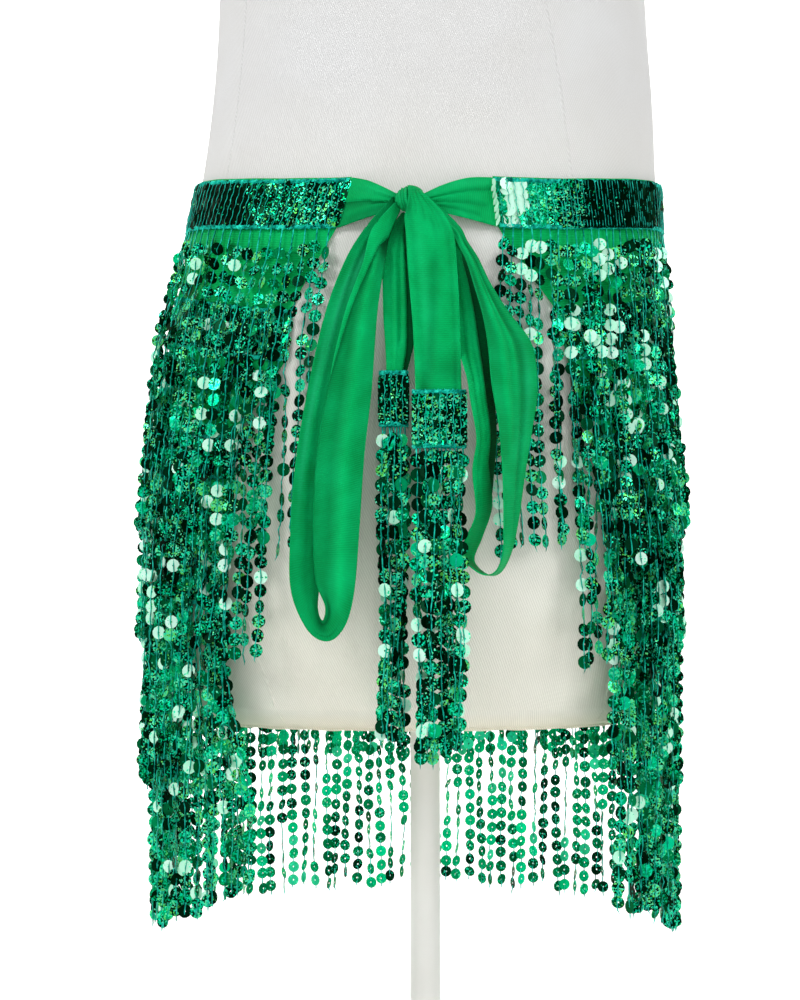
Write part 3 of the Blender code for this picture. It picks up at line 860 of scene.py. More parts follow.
# %% [markdown]
# ## Base cloth
# One panel of stretch mesh goes from front edge to front edge and clings to the hips. It shows as bright
# green under each band and between the strands. A fitted grid with slight ripples is enough: a cloth
# simulation would only find the same close fit again.

# %% The panel
PANEL_TOP = 0.6142
PANEL_COLUMNS = 300
PANEL_ROWS = 72
PANEL_LONG = PANEL_TOP - TIERS[-1][1]
RIPPLE = 0.35 * MM


def cloth_at(level, share, out):
    """Points at shares of the cloth's length along a level. The share is measured along the cloth."""
    run, angles = along_cloth(level)
    angle = np.interp(np.asarray(share) * run[-1], run, angles)
    return on_cloth(angle, level, out), angle


def make_panel():
    """Rows of the cloth from top to bottom. Ripples are sums of slow sines of the angle and the level."""
    levels = np.linspace(PANEL_TOP, TIERS[-1][1], PANEL_ROWS)
    shares = np.linspace(0.0, 1.0, PANEL_COLUMNS)
    rows, widths = [], []
    for level in levels:
        run, angles = along_cloth(level)
        angle = np.interp(shares * run[-1], run, angles)
        ripple = RIPPLE * (np.sin(23.0 * angle + 40.0 * level) + np.sin(9.0 * angle - 70.0 * level))
        rows.append(on_cloth(angle, level, CLOTH_OUT + ripple))
        widths.append(run[-1])
    widths = np.array(widths)
    uv = stacked(shares[None, :] * widths[:, None], levels[:, None])
    piece = make_piece("base_panel", rows, grid_faces(PANEL_ROWS, PANEL_COLUMNS), panel_cloth,
                       slot="green_mesh_cloth", uv=uv)
    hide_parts("base_cloth")
    return piece, float(widths.max()), float(widths.mean() * PANEL_LONG)


base_panel, panel_wide, panel_area = make_panel()
print("panel cut:", round(panel_wide, 3), "x", round(PANEL_LONG, 3), "m, area", round(panel_area, 4))

# %% [markdown]
# ## How sequins catch the light
# A sequin mirrors whatever it faces. Beside each other on one band all face much the same way, so light
# comes in patches: a few bright as paper, then a stretch full of sparks, then dark ones. These patches of
# light are painted: each sequin gets three numbers that the finish reads. Slow waves over the piece make
# the patches, and chance makes each sequin a little different from the next.

# %% Tones
MIDDLE_TONE = 0.25
MIDDLE_SPARKS = 0.28
BRIGHT_SPARKS = 0.07
WAVE = 0.30
CHANCE = 0.25
GROUPS = 0.15
IN_GROUP = 4.6
OUT_OF_GROUP = 0.35


def in_blocks(luck, shape):
    """Chance numbers, each shared by three neighbours along the second axis, where there is one."""
    sizes = (1, 3)[:len(shape)]
    coarse = luck.random([count // size + 1 for count, size in zip(shape, sizes)])
    for axis, (count, size) in enumerate(zip(shape, sizes)):
        coarse = np.repeat(coarse, size, axis=axis).take(np.arange(count), axis=axis)
    return coarse


def tones(angle, height, turned_by, flash, seed, lift=0.0):
    """Tone, sparks and hue of each sequin, its painted light: slow waves of its place, chance, and how
    squarely it faces out. Bright ones are painted reflections of a lamp and come in small groups, because
    neighbours face the same way."""
    luck = np.random.default_rng(seed)
    wave = np.sin(7.0 * angle + 31.0 * height) + np.sin(11.0 * angle - 47.0 * height + 1.3)
    wave = 0.25 * wave + np.sin(3.0 * angle + 90.0 * height + 0.7) * 0.2
    tone = np.clip(MIDDLE_TONE + lift + WAVE * wave + luck.normal(0.0, CHANCE, angle.shape), 0.0, 0.90)
    sparks = MIDDLE_SPARKS + lift + WAVE * wave + luck.normal(0.0, CHANCE, angle.shape)
    sparks = np.clip(sparks, 0.01, 0.80)
    grouped = np.where(in_blocks(luck, angle.shape) < GROUPS, IN_GROUP, OUT_OF_GROUP)
    bright = luck.random(angle.shape) < flash * grouped * (1.0 + wave) * np.cos(turned_by) ** 2
    tone = np.where(bright, luck.uniform(0.95, 1.0, angle.shape), tone)
    sparks = np.where(bright, BRIGHT_SPARKS, sparks)
    return stacked(tone, sparks, luck.random(angle.shape), 1.0)


# %% [markdown]
# ## Bands
# A machine lays rows of threaded sequins side by side and locks them with a chain stitch along both
# edges. Each column is a stack of sequins that overlap like tiles, with its thread down the middle.

# %% Sequined bands
SEQUIN_RADIUS = 4.15 * MM
SEQUIN_HOLE = 0.6 * MM
STITCH_RADIUS = 0.70 * MM
STITCH_HALF = 0.95 * MM
STITCH_LENGTH = 3.2 * MM
STITCH_STARTS = (0.0, 2.1, 4.2)
STITCH_FLAT = 0.45
STITCH_CHANCE = 0.20 * MM


def make_sequins(name, centres, across, upright, corners, tone):
    """The discs of one band, tier or tassel, each with its own three numbers on all its points."""
    flat = (part.reshape(-1, 3) for part in (centres, across, upright))
    points, faces = discs(*flat, SEQUIN_RADIUS, SEQUIN_HOLE, corners)
    tone = np.repeat(tone.reshape(-1, 4), 2 * corners, axis=0)
    piece = make_piece(f"{name}_sequins", points, faces, sequin_foil, smooth=False, tone=tone)
    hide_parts(name)


def make_threads(name, *parts):
    """The threads and stitches of one band, tier or tassel."""
    piece = make_piece(f"{name}_threads", *together(*parts), teal_thread)
    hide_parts(name)


def chain_stitch(path, out, seed):
    """Three cords plaited along a path: each is offset by a sine up and a flatter cosine out, a third of
    a stitch behind the last, and its thickness changes by chance from point to point."""
    luck = np.random.default_rng(seed)
    cords = []
    for start in STITCH_STARTS:
        turn = 2.0 * math.pi * distance_along(path)[:, None] / STITCH_LENGTH + start
        offset = STITCH_HALF * np.sin(turn) * UP + STITCH_FLAT * STITCH_RADIUS * np.cos(turn) * out
        cords.append(path + offset + luck.normal(0.0, STITCH_CHANCE, path.shape))
    cords = np.array(cords)
    return tubes(cords, STITCH_RADIUS * luck.uniform(0.60, 1.40, cords.shape[:2]), 4)


def band_edge(level, out):
    """A chain stitch along one level of the cloth, a little outside it."""
    length = along_cloth(level)[0][-1]
    steps = int(length / (STITCH_LENGTH / 4.0))
    path, angle = cloth_at(level, np.linspace(0.0, 1.0, steps), out)
    return chain_stitch(path, cloth_outwards(angle, level)[1], int(level / MM))


print("sequins are", round(2000 * SEQUIN_RADIUS, 1), "mm across, stitches", STITCH_LENGTH / MM, "mm long")

# %% [markdown]
# ## Look of the waistband
# The waistband is what the eye meets first, and its patches of light lie where they do by how the band
# bends. Chance would put them elsewhere, so a short table paints them, as tone and sparks round the form.
# Its front end curls, and on its right side the columns crowd and turn like louvres.

# %% Look of the waistband
# degrees round the form, then the painted light: tone and share of sparks
WAIST_PATCHES = np.array((
    (-180.0, 0.25, 0.20), (-110.0, 0.20, 0.10), (-60.0, 0.06, 0.00), (-43.0, 0.08, 0.02),
    (-39.0, 0.16, 0.18), (-28.0, 0.20, 0.26), (-22.0, 0.26, 0.33), (-16.0, 0.20, 0.30),
    (12.0, 0.70, 0.30), (14.2, 0.62, 0.30), (19.0, 0.60, 0.55), (25.0, 0.55, 0.55),
    (27.0, 0.20, 0.36), (32.0, 0.14, 0.34), (34.0, 0.05, 0.02), (60.0, 0.05, 0.00),
    (110.0, 0.20, 0.10), (180.0, 0.25, 0.20),
))
# degrees between which every sequin of the waistband's right front end is painted as a bright flash
WAIST_FLASH = (14.4, 18.9)
# turns in degrees of the sequins that curl round that end, from the top down
CURL_TURNS = (62.0, 70.0, 66.0, 58.0, 64.0, 60.0)
# on the waistband's right side the columns crowd, so their sequins all turn one way like louvres
LOUVRES = (math.radians(27.5), math.radians(62.0))
LOUVRE_TURN = math.radians(24.0)
LOUVRE_PITCH = 2.3 * MM
LOUVRE_THREAD = 1.7 * MM
LOUVRE_SWAY = 0.35


def crowded(angle):
    """Where the waistband's columns crowd."""
    return (angle > LOUVRES[0]) & (angle < LOUVRES[1])


def band_tone(angle, tone):
    """The waistband's painted light, its tone and sparks, read from its table of patches, with a little of
    each sequin's own.
    """
    degrees = np.degrees(np.where(angle > math.pi, angle - 2.0 * math.pi, angle))
    end = (degrees > WAIST_FLASH[0]) & (degrees < WAIST_FLASH[1])
    for channel, own, flash in ((0, 0.35, 0.98), (1, 0.30, 0.02)):
        patch = np.interp(degrees, WAIST_PATCHES[:, 0], WAIST_PATCHES[:, channel + 1])
        shift = own * (tone[..., channel] - MIDDLE_TONE) * share_of(patch * 5.0)
        tone[..., channel] = np.where(end, flash, np.clip(patch + shift, 0.0, 0.9))
    return tone


def curled_end(top, bottom):
    """One column of sequins that curl round the waistband's right front end, seen nearly edge on, painted as
    bright reflections.
    """
    levels = np.linspace(top - 5.0 * MM, bottom + 4.0 * MM, len(CURL_TURNS))
    angle = np.array([cloth_span(level)[0] for level in levels])
    centres = on_cloth(angle, levels, BAND_OUT)
    centres = centres + np.array((-1.2 * MM, -1.0 * MM, 0.0))
    turn = np.radians(CURL_TURNS)[:, None]
    across = np.cos(turn) * np.array((1.0, 0.0, 0.0)) + np.sin(turn) * np.array((0.0, -1.0, 0.0))
    upright = unit(np.array((0.10, 0.0, 1.0)) * np.ones_like(turn))
    across = unit(across - upright * np.sum(across * upright, axis=-1, keepdims=True))
    tone = np.tile((0.985, 0.0, 0.5, 1.0), (len(CURL_TURNS), 1))
    return (centres, across, upright), tone


print("patches on the waistband:", len(WAIST_PATCHES))

# %% [markdown]
# ## Making the bands
# Each band is a grid of columns and levels laid on the cloth. Every crossing holds one sequin, tilted
# like a roof tile over the one below, and every column has its thread. Working on the whole grid at
# once keeps fourteen hundred sequins as quick as one.

# %% Make the bands
COLUMN_PITCH = 4.8 * MM
BAND_SEQUINS = 8
BAND_CORNERS = 10
TILE_TILT = math.radians(9.0)
TILE_CHANCE = math.radians(3.0)
COLUMN_TURN = math.radians(7.0)
COLUMN_LAYER = 0.5 * MM
LAYER_CHANCE = 0.3 * MM
BAND_THREAD = 0.30 * MM
BAND_EDGE = 3.8 * MM
BAND_STEPS = 19
BAND_SWAY = 0.42 * MM
BAND_CHANCE = 0.3 * MM
BAND_THREAD_OUT = 1.35 * MM
# a turned sequin reaches back by its radius * the sine of its turn; this much of it needs no room
BAND_FREE = 0.5 * MM


def columns_at(levels, shares, out):
    """The point and the angle where each level meets each column."""
    return (np.array(part) for part in zip(*(cloth_at(level, shares, out) for level in levels)))


def make_band_threads(number, shares, luck):
    """A wavy thread over each column, and a chain stitch along both edges."""
    top, bottom = TIERS[number - 1][:2]
    levels = np.linspace(top, bottom, BAND_STEPS)
    paths, angle = columns_at(levels, shares, BAND_OUT + BAND_THREAD_OUT)
    paths, angle = paths.transpose(1, 0, 2), angle.T
    along, out = cloth_outwards(angle, levels[None, :])
    sway = BAND_SWAY * np.sin(np.arange(BAND_STEPS) * 1.55 + luck.uniform(0.0, 6.3, (len(shares), 1)))
    sway = sway + luck.normal(0.0, BAND_CHANCE, (len(shares), 1))
    if number == 1:
        sway = sway * np.where(crowded(angle), LOUVRE_SWAY, 1.0)
        paths = paths + out * np.where(crowded(angle), LOUVRE_THREAD, 0.0)[..., None]
    paths = paths + along * sway[..., None]
    edges = [band_edge(level, BAND_OUT + 0.5 * MM) for level in (top - 1.0 * MM, bottom + 0.6 * MM)]
    make_threads(f"band_{number}", tubes(paths, BAND_THREAD, 3), *edges)


def make_band(number):
    """Columns of overlapping discs, then their threads. A turned disc stands off the cloth by nearly its
    radius * the sine of its turn, to keep its back edge out of the cloth."""
    top, bottom = TIERS[number - 1][:2]
    run, angles = along_cloth(0.5 * (top + bottom))
    per_metre = np.full(len(run) - 1, 1.0 / COLUMN_PITCH)
    waist = number == 1
    if waist:
        per_metre = np.where(crowded(angles[1:]), 1.0 / LOUVRE_PITCH, per_metre)
    shares = spaced(run, per_metre, run) / run[-1]
    levels = np.linspace(top - BAND_EDGE, bottom + BAND_EDGE, BAND_SEQUINS)
    luck = np.random.default_rng(100 + number)
    centres, angle = columns_at(levels, shares, BAND_OUT)
    along, out = cloth_outwards(angle, levels[:, None])
    turn = luck.normal(0.0, COLUMN_TURN, angle.shape)
    if waist:
        turn = turn + LOUVRE_TURN * crowded(angle)
    turn = turn[..., None]
    tilt = TILE_TILT + luck.normal(0.0, TILE_CHANCE, angle.shape)[..., None]
    across = along * np.cos(turn) + out * np.sin(turn)
    upright = UP * np.cos(tilt) - np.cross(across, UP) * np.sin(tilt)
    layer = COLUMN_LAYER * (np.arange(len(shares)) % 2)[None, :, None]
    centres = centres + out * (layer + luck.uniform(0.0, LAYER_CHANCE, angle.shape)[..., None])
    centres = centres + out * np.clip(SEQUIN_RADIUS * np.abs(np.sin(turn)) - BAND_FREE, 0.0, None)
    tone = tones(angle, levels[:, None], np.zeros_like(angle), 0.03, 200 + number)
    flat = [part.reshape(-1, 3) for part in (centres, across, upright)]
    if waist:
        curl, curl_tone = curled_end(top, bottom)
        flat = [np.concatenate(pair) for pair in zip(flat, curl)]
        tone = np.concatenate((band_tone(angle, tone).reshape(-1, 4), curl_tone))
    make_sequins(f"band_{number}", *flat, BAND_CORNERS, tone)
    make_band_threads(number, shares, luck)


for number in range(1, len(TIERS) + 1):
    make_band(number)

# %% [markdown]
# ## Fringe
# Every strand is one thread with sequins tied on a centimetre apart. The thread passes over each
# sequin's face, so the sequins swing round it like leaves. Near the cloth they lie against the layer
# below. Lower down, where they hang free, they turn any way they like. Strands bunch together in twos
# and threes, and leave gaps where the cloth shows.

# %% Strands of sequins
STRAND_SEQUINS = 20
STRIP_HEIGHT = 4.0 * MM
STRAND_CHANCE = 0.8 * MM
THREAD_RADIUS = 0.48 * MM
ROOT_RADIUS = 0.62 * MM
ROOT_RISE = 1.5 * MM
THREAD_TAIL = (1.0, 3.5)


def slow_chance(luck, count, every, size):
    """A smooth line of chance: random heights every few strands, joined by a cosine curve."""
    knots = luck.normal(0.0, size, count // every + 3)
    place = np.arange(count) / every
    first = place.astype(int)
    share = 0.5 - 0.5 * np.cos(math.pi * (place - first))
    return knots[first] * (1.0 - share) + knots[first + 1] * share


def in_clusters(luck, count):
    """How many strands' widths each strand lies from the middle of its cluster of two or three."""
    sizes = luck.integers(2, 4, count)
    cluster = np.repeat(np.arange(count), sizes)[:count]
    place = np.arange(count)
    middle = np.bincount(cluster, weights=place) / np.maximum(np.bincount(cluster), 1)
    return middle[cluster] - place


def fringe_at(tier, angle, share, out):
    """The fringe's surface: its half width goes in straight lines from the cloth's to those of the tier,
    halfway down and at the end, and its height falls by the strand's length."""
    root = cloth_height(angle, tier[1] - GAP - STRIP_HEIGHT)
    root_width, root_middle = section_at(np.maximum(root, WIDEST))
    _, _, full_length, shorter, half_width, half_middle, end_width, end_middle = tier
    upper = share_of(share / STRAND_HALFWAY)
    lower = share_of((share - STRAND_HALFWAY) / (1.0 - STRAND_HALFWAY))
    upper, lower = (eased(s) * 0.4 + s * 0.6 for s in (upper, lower))
    width = (root_width + BAND_OUT) * (1.0 - upper) + half_width * (upper - lower) + end_width * lower
    middle = root_middle * (1.0 - upper) + half_middle * (upper - lower) + end_middle * lower
    length = full_length * (1.0 - shorter * front_share(angle))
    return on_section(angle, root - share * length, width + out, middle), width + out, length


def strand_steps(bare, end):
    """Places along each strand from its bare top to its end: every second one holds a sequin."""
    return bare + (end - bare) * np.arange(2 * STRAND_SEQUINS + 1)[None, :] / (2.0 * STRAND_SEQUINS)


def strand_tubes(luck, root, knots, chance=None):
    """The strands' threads, thicker at the root, with a short tail of thread below the last sequin. The
    tail's end is moved by chance, in these shares of it along x, y and z."""
    tail = knots[:, -1:] - UP * luck.uniform(*THREAD_TAIL, (len(knots), 1, 1)) * MM
    if chance is not None:
        tail = tail + luck.normal(0.0, STRAND_CHANCE, tail.shape) * chance
    paths = np.concatenate((root + UP * ROOT_RISE, root, knots, tail), axis=1)
    thick = np.full(paths.shape[:2], THREAD_RADIUS)
    thick[:, :3] = ROOT_RADIUS
    return tubes(paths, thick, 3)


def slow_wave(luck, place, least, most):
    """A sine down each strand, with a wave number between least and most and its own start."""
    count = len(place)
    return np.sin(place * luck.uniform(least, most, (count, 1)) + luck.uniform(0.0, 6.3, (count, 1)))


print("a strand holds", STRAND_SEQUINS, "sequins")

# %% [markdown]
# ## How strands hang
# Strands are sewn on side by side, but they never hang evenly. They draw together in twos and threes,
# some are cut shorter, and in one place of the first tier they part. Each of these is a small shift
# along the cloth or out from it, and adding the shifts is simpler than a simulation.

# %% How strands hang
FRONT_ENDS = math.radians(118.0)
FRONT_FADES = math.radians(20.0)
TRIM_CHANCE = 0.015
TRIM_WAVE = 0.012
TRIM_LIMITS = (0.94, 1.03)
BARE_THREAD = 5.0 * MM
PLACE_CHANCE = 0.0025
BUNCHING = 2.4 * MM
SWAY = 1.3 * MM
CALM_BEHIND = 0.65
PARTING = math.radians(287.0)
PARTING_WIDTH = math.radians(13.0)
PARTING_PUSH = 7.0 * MM
STRAND_LAYER = 0.8 * MM
STRAND_OUT = 1.2 * MM


def strand_starts(level, pitches):
    """The angle at which each strand is sewn on. Left and right have their own pitch at the front, and
    past the sides it changes softly to the back's."""
    run, angles = along_cloth(level)
    left_pitch, right_pitch, back_pitch = pitches
    beside = share_of((FRONT_ENDS - np.minimum(angles, 2.0 * math.pi - angles)[1:]) / FRONT_FADES)
    front_pitch = np.where(angles[1:] > math.pi, left_pitch, right_pitch)
    return spaced(run, beside / front_pitch + (1.0 - beside) / back_pitch, angles)


def strand_shares(luck, tier, start, cut):
    """Places along each strand as shares of its length, from its bare top to its cut end."""
    count = len(start)
    trim = 1.0 + luck.normal(0.0, TRIM_CHANCE, count) + slow_chance(luck, count, 6, TRIM_WAVE)
    trim = np.clip(trim, *TRIM_LIMITS)[:, None] * (1.0 - cut)
    _, _, length = fringe_at(tier, start[:, None], 0.0, 0.0)
    bare = BARE_THREAD * luck.uniform(0.1, 1.6, (count, 1)) / length
    share = strand_steps(bare, trim)
    return share + luck.normal(0.0, PLACE_CHANCE, share.shape)


def strand_aside(luck, share, together_by, behind, lean):
    """How far beside its root each point lies: strands bunch, sway a little and lean."""
    count = len(share)
    bunch = slow_chance(luck, count, 2, BUNCHING) + luck.normal(0.0, STRAND_CHANCE, count)
    bunch = (bunch + together_by * in_clusters(luck, count))[:, None] * (1.0 - CALM_BEHIND * behind)
    sway = SWAY * slow_wave(luck, share, 5.0, 12.0)
    return bunch * share_of(share) ** 0.6 + sway * share + lean * share_of(share * 1.6)


def parted(start, share):
    """How far the first tier's strands are drawn off the parting, most near their roots."""
    away = (start - PARTING)[:, None] / PARTING_WIDTH
    opened = share_of(7.0 * share) * (1.0 - 0.8 * share_of((share - 0.28) / 0.30))
    return PARTING_PUSH * np.sign(away) * np.exp(-away * away) * opened


def strand_out(luck, share):
    """How far out each point lies: below the root every second strand has a layer of its own."""
    count = len(share)
    layer = (2.0 * STRAND_LAYER * (np.arange(count) % 2) - STRAND_LAYER)[:, None]
    layer = layer + luck.normal(0.0, 0.5 * MM, (count, 1))
    return STRAND_OUT + layer * share_of(share * 4.0)


print("strands part at", round(math.degrees(PARTING)), "degrees round the form")

# %% [markdown]
# ## How sequins turn
# A sequin swings round its thread until it meets its neighbours, so it faces nearly as the one above it
# does, and a walk of small chances down the strand gives just that. Over the base cloth it can't turn
# through, so it is moved out about as far as its own edge reaches back. Sequins aren't moved aside for
# each other, so many of them still cut into a neighbour.

# %% How sequins turn
WALK_STEP = math.radians(14.0)
TURN_CHANCE = math.radians(23.0)
BEHIND_TURN = math.radians(48.0)
BEHIND_CHANCE = math.radians(20.0)
TURN_MOST = math.radians(42.0)
SIDELONG_SHARE = 0.42
# room left between a turned sequin's back edge and the base cloth
PRESSED = 0.6 * MM


def sequin_turns(luck, start, place, free, freedom):
    """Each sequin's turn about its thread: a walk of chance down the strand and the sequin's own chance,
    wider lower down. Some strands also face the front. The second result is the turn of a bright one."""
    count = len(place)
    walk = np.cumsum(luck.normal(0.0, WALK_STEP, place.shape), axis=1)
    walk = (walk + luck.normal(0.0, TURN_CHANCE, place.shape)) * (1.0 - CALM_BEHIND * free)
    slow = slow_wave(luck, place, 5.0, 13.0)
    turn = walk * (0.95 + 0.5 * share_of((place - 0.45) / 0.4) * freedom)
    turn = turn + free * (luck.normal(0.0, BEHIND_CHANCE, (count, 1)) + BEHIND_TURN * slow)
    sidelong = np.mod(start[:, None] + 0.5 * math.pi, math.pi) - 0.5 * math.pi
    sidelong = np.clip(0.75 * sidelong, -TURN_MOST, TURN_MOST) + 0.0 * place
    turn = turn + sidelong * (luck.random((count, 1)) < SIDELONG_SHARE)
    return turn, 0.20 * walk + sidelong


def push_out(centres, width, turn):
    """How far a sequin over the base cloth is moved out to clear it by its radius * the sine of its turn,
    and a little more."""
    form_width, _ = section_at(np.maximum(centres[..., 2], WIDEST))
    clear = width - form_width - CLOTH_OUT - 0.5 * CLOTH
    reach = SEQUIN_RADIUS * np.abs(np.sin(turn)) + PRESSED
    return np.where(centres[..., 2] > TIERS[-1][1], np.clip(reach - clear, 0.0, SEQUIN_RADIUS), 0.0)


def backlit(luck, place):
    """The three numbers of sequins that hang free behind, where light coming through is painted in slow
    waves.
    """
    lit = 0.62 + 0.22 * slow_wave(luck, place, 4.0, 10.0) + luck.normal(0.0, 0.11, place.shape)
    sparks, hue = luck.uniform(0.0, 0.28, place.shape), luck.uniform(0.0, 0.5, place.shape)
    return stacked(np.clip(lit, 0.12, 0.92), sparks, hue, 1.0)


print("sequins turn to the front on", round(100 * SIDELONG_SHARE), "strands of a hundred")

# %% [markdown]
# ## Making the fringe
# With the lines and the turns at hand, a tier is a list of steps: strands, sequins, then the thread that
# passes over each sequin's face. The four tiers differ only by the numbers of one table.

# %% Make the fringe
STRAND_CORNERS = 12
LEAN_REACH = 0.70
# angle from the back's middle at which a strand begins to count as behind, and over how much it does
BEHIND = (1.2, 0.3)
FORM_FOOT = 0.262
HUNG_TILT = math.radians(2.0)
TILT_CHANCE = math.radians(7.0)
# tone above which a sequin is painted as a bright reflection
FACED = 0.94
THREAD_OFF = 0.55 * MM
THREAD_CHANCE = 0.35 * MM


def make_fringe(number, pitches, drawn, freedom, flash, lift, drift, trimmed):
    """All strands of a tier. A sequin's place is a share of its strand's length, shifted along the cloth
    and out. Its thread passes over its face."""
    tier = TIERS[number - 1]
    luck = np.random.default_rng(300 + number)
    pitches = [pitch * MM for pitch in pitches]
    start = strand_starts(tier[1], pitches)
    from_left = share_of((start - start[-1] + LEAN_REACH) / LEAN_REACH)[:, None]
    behind = share_of((BEHIND[0] - np.abs(start - math.pi)) / BEHIND[1])[:, None]
    share = strand_shares(luck, tier, start, trimmed * from_left ** 2)
    aside = strand_aside(luck, share, drawn * pitches[1], behind, drift * from_left)
    if number == 1:
        aside = aside + parted(start, share)
    angle = start[:, None] + 0.0 * share
    flat, width, _ = fringe_at(tier, angle, share, strand_out(luck, share))
    along, straight_out = outwards(angle, width)
    flat = flat + along * aside[..., None]
    centres, place = flat[:, 1::2], share[:, 1::2]
    along, straight_out = along[:, 1::2], straight_out[:, 1::2]
    free = behind * share_of((FORM_FOOT - centres[..., 2]) / 0.02)
    turn, bright_turn = sequin_turns(luck, start, place, free, freedom)
    tilt = luck.normal(HUNG_TILT, TILT_CHANCE, place.shape)
    tone = tones(angle[:, 1::2], centres[..., 2], np.clip(turn, -1.4, 1.4), flash, 400 + number, lift)
    turn = np.where(tone[..., 0] > FACED, bright_turn, turn)
    centres = centres + straight_out * push_out(centres, width[:, 1::2], turn)[..., None]
    flat[:, 1::2] = centres
    across = along * np.cos(turn)[..., None] + straight_out * np.sin(turn)[..., None]
    down_line = unit(np.gradient(flat, axis=1)[:, 1::2])
    facing = unit(np.cross(across, -down_line))
    up = np.cross(facing, across)
    upright = up * np.cos(tilt)[..., None] - facing * np.sin(tilt)[..., None]
    tone = tone * (1.0 - free[..., None]) + backlit(luck, place) * free[..., None]
    make_sequins(f"fringe_{number}", centres, across, upright, STRAND_CORNERS, tone)
    front_side = np.where(np.sum(facing * straight_out, axis=-1, keepdims=True) < 0.0, -1.0, 1.0)
    knots = flat.copy()
    knots[:, 1::2] += THREAD_OFF * facing * front_side
    knots = knots + luck.normal(0.0, THREAD_CHANCE, knots.shape) * (1.0, 0.5, 1.0)
    root = on_cloth(start, tier[1], BAND_OUT + 0.6 * MM)[:, None, :]
    make_threads(f"fringe_{number}", strand_tubes(luck, root, knots, (1.0, 1.0, 0.2)))


# tier, the strands' pitch in mm on the left, on the right and behind, how far clusters draw together,
# how freely the lower half turns, share of sequins painted as bright reflections, lift of the painted
# tones, then how far the left front strands lean, and how much shorter they are cut
FRINGES = (
    (1, (7.6, 5.8, 6.6), 0.50, 0.35, 0.140, 0.00, 0.000, 0.00),
    (2, (6.2, 6.0, 6.6), 0.50, 0.45, 0.125, 0.02, 0.000, 0.00),
    (3, (5.0, 5.0, 6.6), 0.40, 0.60, 0.110, 0.08, 0.010, 0.00),
    (4, (4.0, 4.0, 8.2), 0.30, 0.80, 0.105, 0.08, 0.034, 0.11),
)
for row in FRINGES:
    make_fringe(*row)

# %% [markdown]
# ## Bow
# The ties are long strips of the same mesh, folded double. Each makes one loop and one tail at the
# knot, and the fine ribs of the knit run across it. A ribbon is easiest to keep true to its two edges:
# a table gives both edges at a few sections, a smooth curve joins the sections, and soft creases are
# added along it.

# %% Sizes of the bow
KNOT_MIDDLE = np.array((-11.0, -128.5, 572.3))
KNOT_HALF = np.array((9.0, 8.0, 7.8))
KNOT_CLEAR = 0.9
KNOT_EXITS = {
    "tie_left": ((-1.0, 0.60, 0.55), (-1.0, 0.60, -0.45)),
    "tie_right": ((1.0, 0.60, 0.55), (1.0, 0.60, -0.45)),
    "loop_left_front": ((-0.70, -0.30, -0.80), (-1.0, -0.45, -0.30)),
    "loop_left_back": ((-1.0, 0.05, 0.25), (-0.85, 0.10, -0.50)),
    "loop_right_front": ((0.80, -0.45, -0.50), (1.0, -0.25, 0.25)),
    "loop_right_back": ((0.75, 0.05, -0.80), (1.0, 0.15, -0.30)),
    "tail_left": ((-0.55, 0.05, -1.0), (0.30, 0.0, -1.0)),
    "tail_right": ((-0.15, -0.60, 0.80), (0.80, -0.45, 0.45)),
}
# each row is one section in millimetres: the first edge's x, y, z and the second edge's x, y, z
LOOP_LEFT = (
    (-23.5, -135.0, 547.5, -33.7, -137.0, 551.2),
    (-25.9, -140.0, 533.1, -38.9, -141.0, 529.5),
    (-30.6, -144.0, 500.8, -49.5, -144.0, 498.4),
    (-34.0, -147.0, 453.2, -60.5, -146.0, 448.4),
    (-38.1, -149.0, 415.9, -66.3, -147.0, 407.0),
    (-40.9, -151.0, 372.9, -67.5, -147.0, 368.9),
    (-43.8, -153.0, 336.8, -66.0, -147.0, 342.7),
    (-49.0, -155.0, 317.1, -60.7, -147.0, 327.5),
    (-58.3, -155.0, 308.4, -62.4, -144.0, 319.4),
    (-69.9, -150.0, 314.7, -64.8, -141.0, 327.5),
    (-80.0, -144.5, 336.8, -63.6, -140.5, 345.5),
    (-80.7, -143.0, 368.9, -62.6, -140.5, 368.9),
    (-78.5, -142.0, 407.0, -60.4, -140.5, 407.0),
    (-72.3, -141.5, 448.4, -54.7, -140.5, 448.4),
    (-61.9, -140.5, 497.2, -44.7, -139.5, 496.0),
    (-50.2, -138.5, 530.8, -37.2, -137.0, 525.9),
    (-37.2, -133.0, 554.2, -28.9, -131.0, 546.4),
)
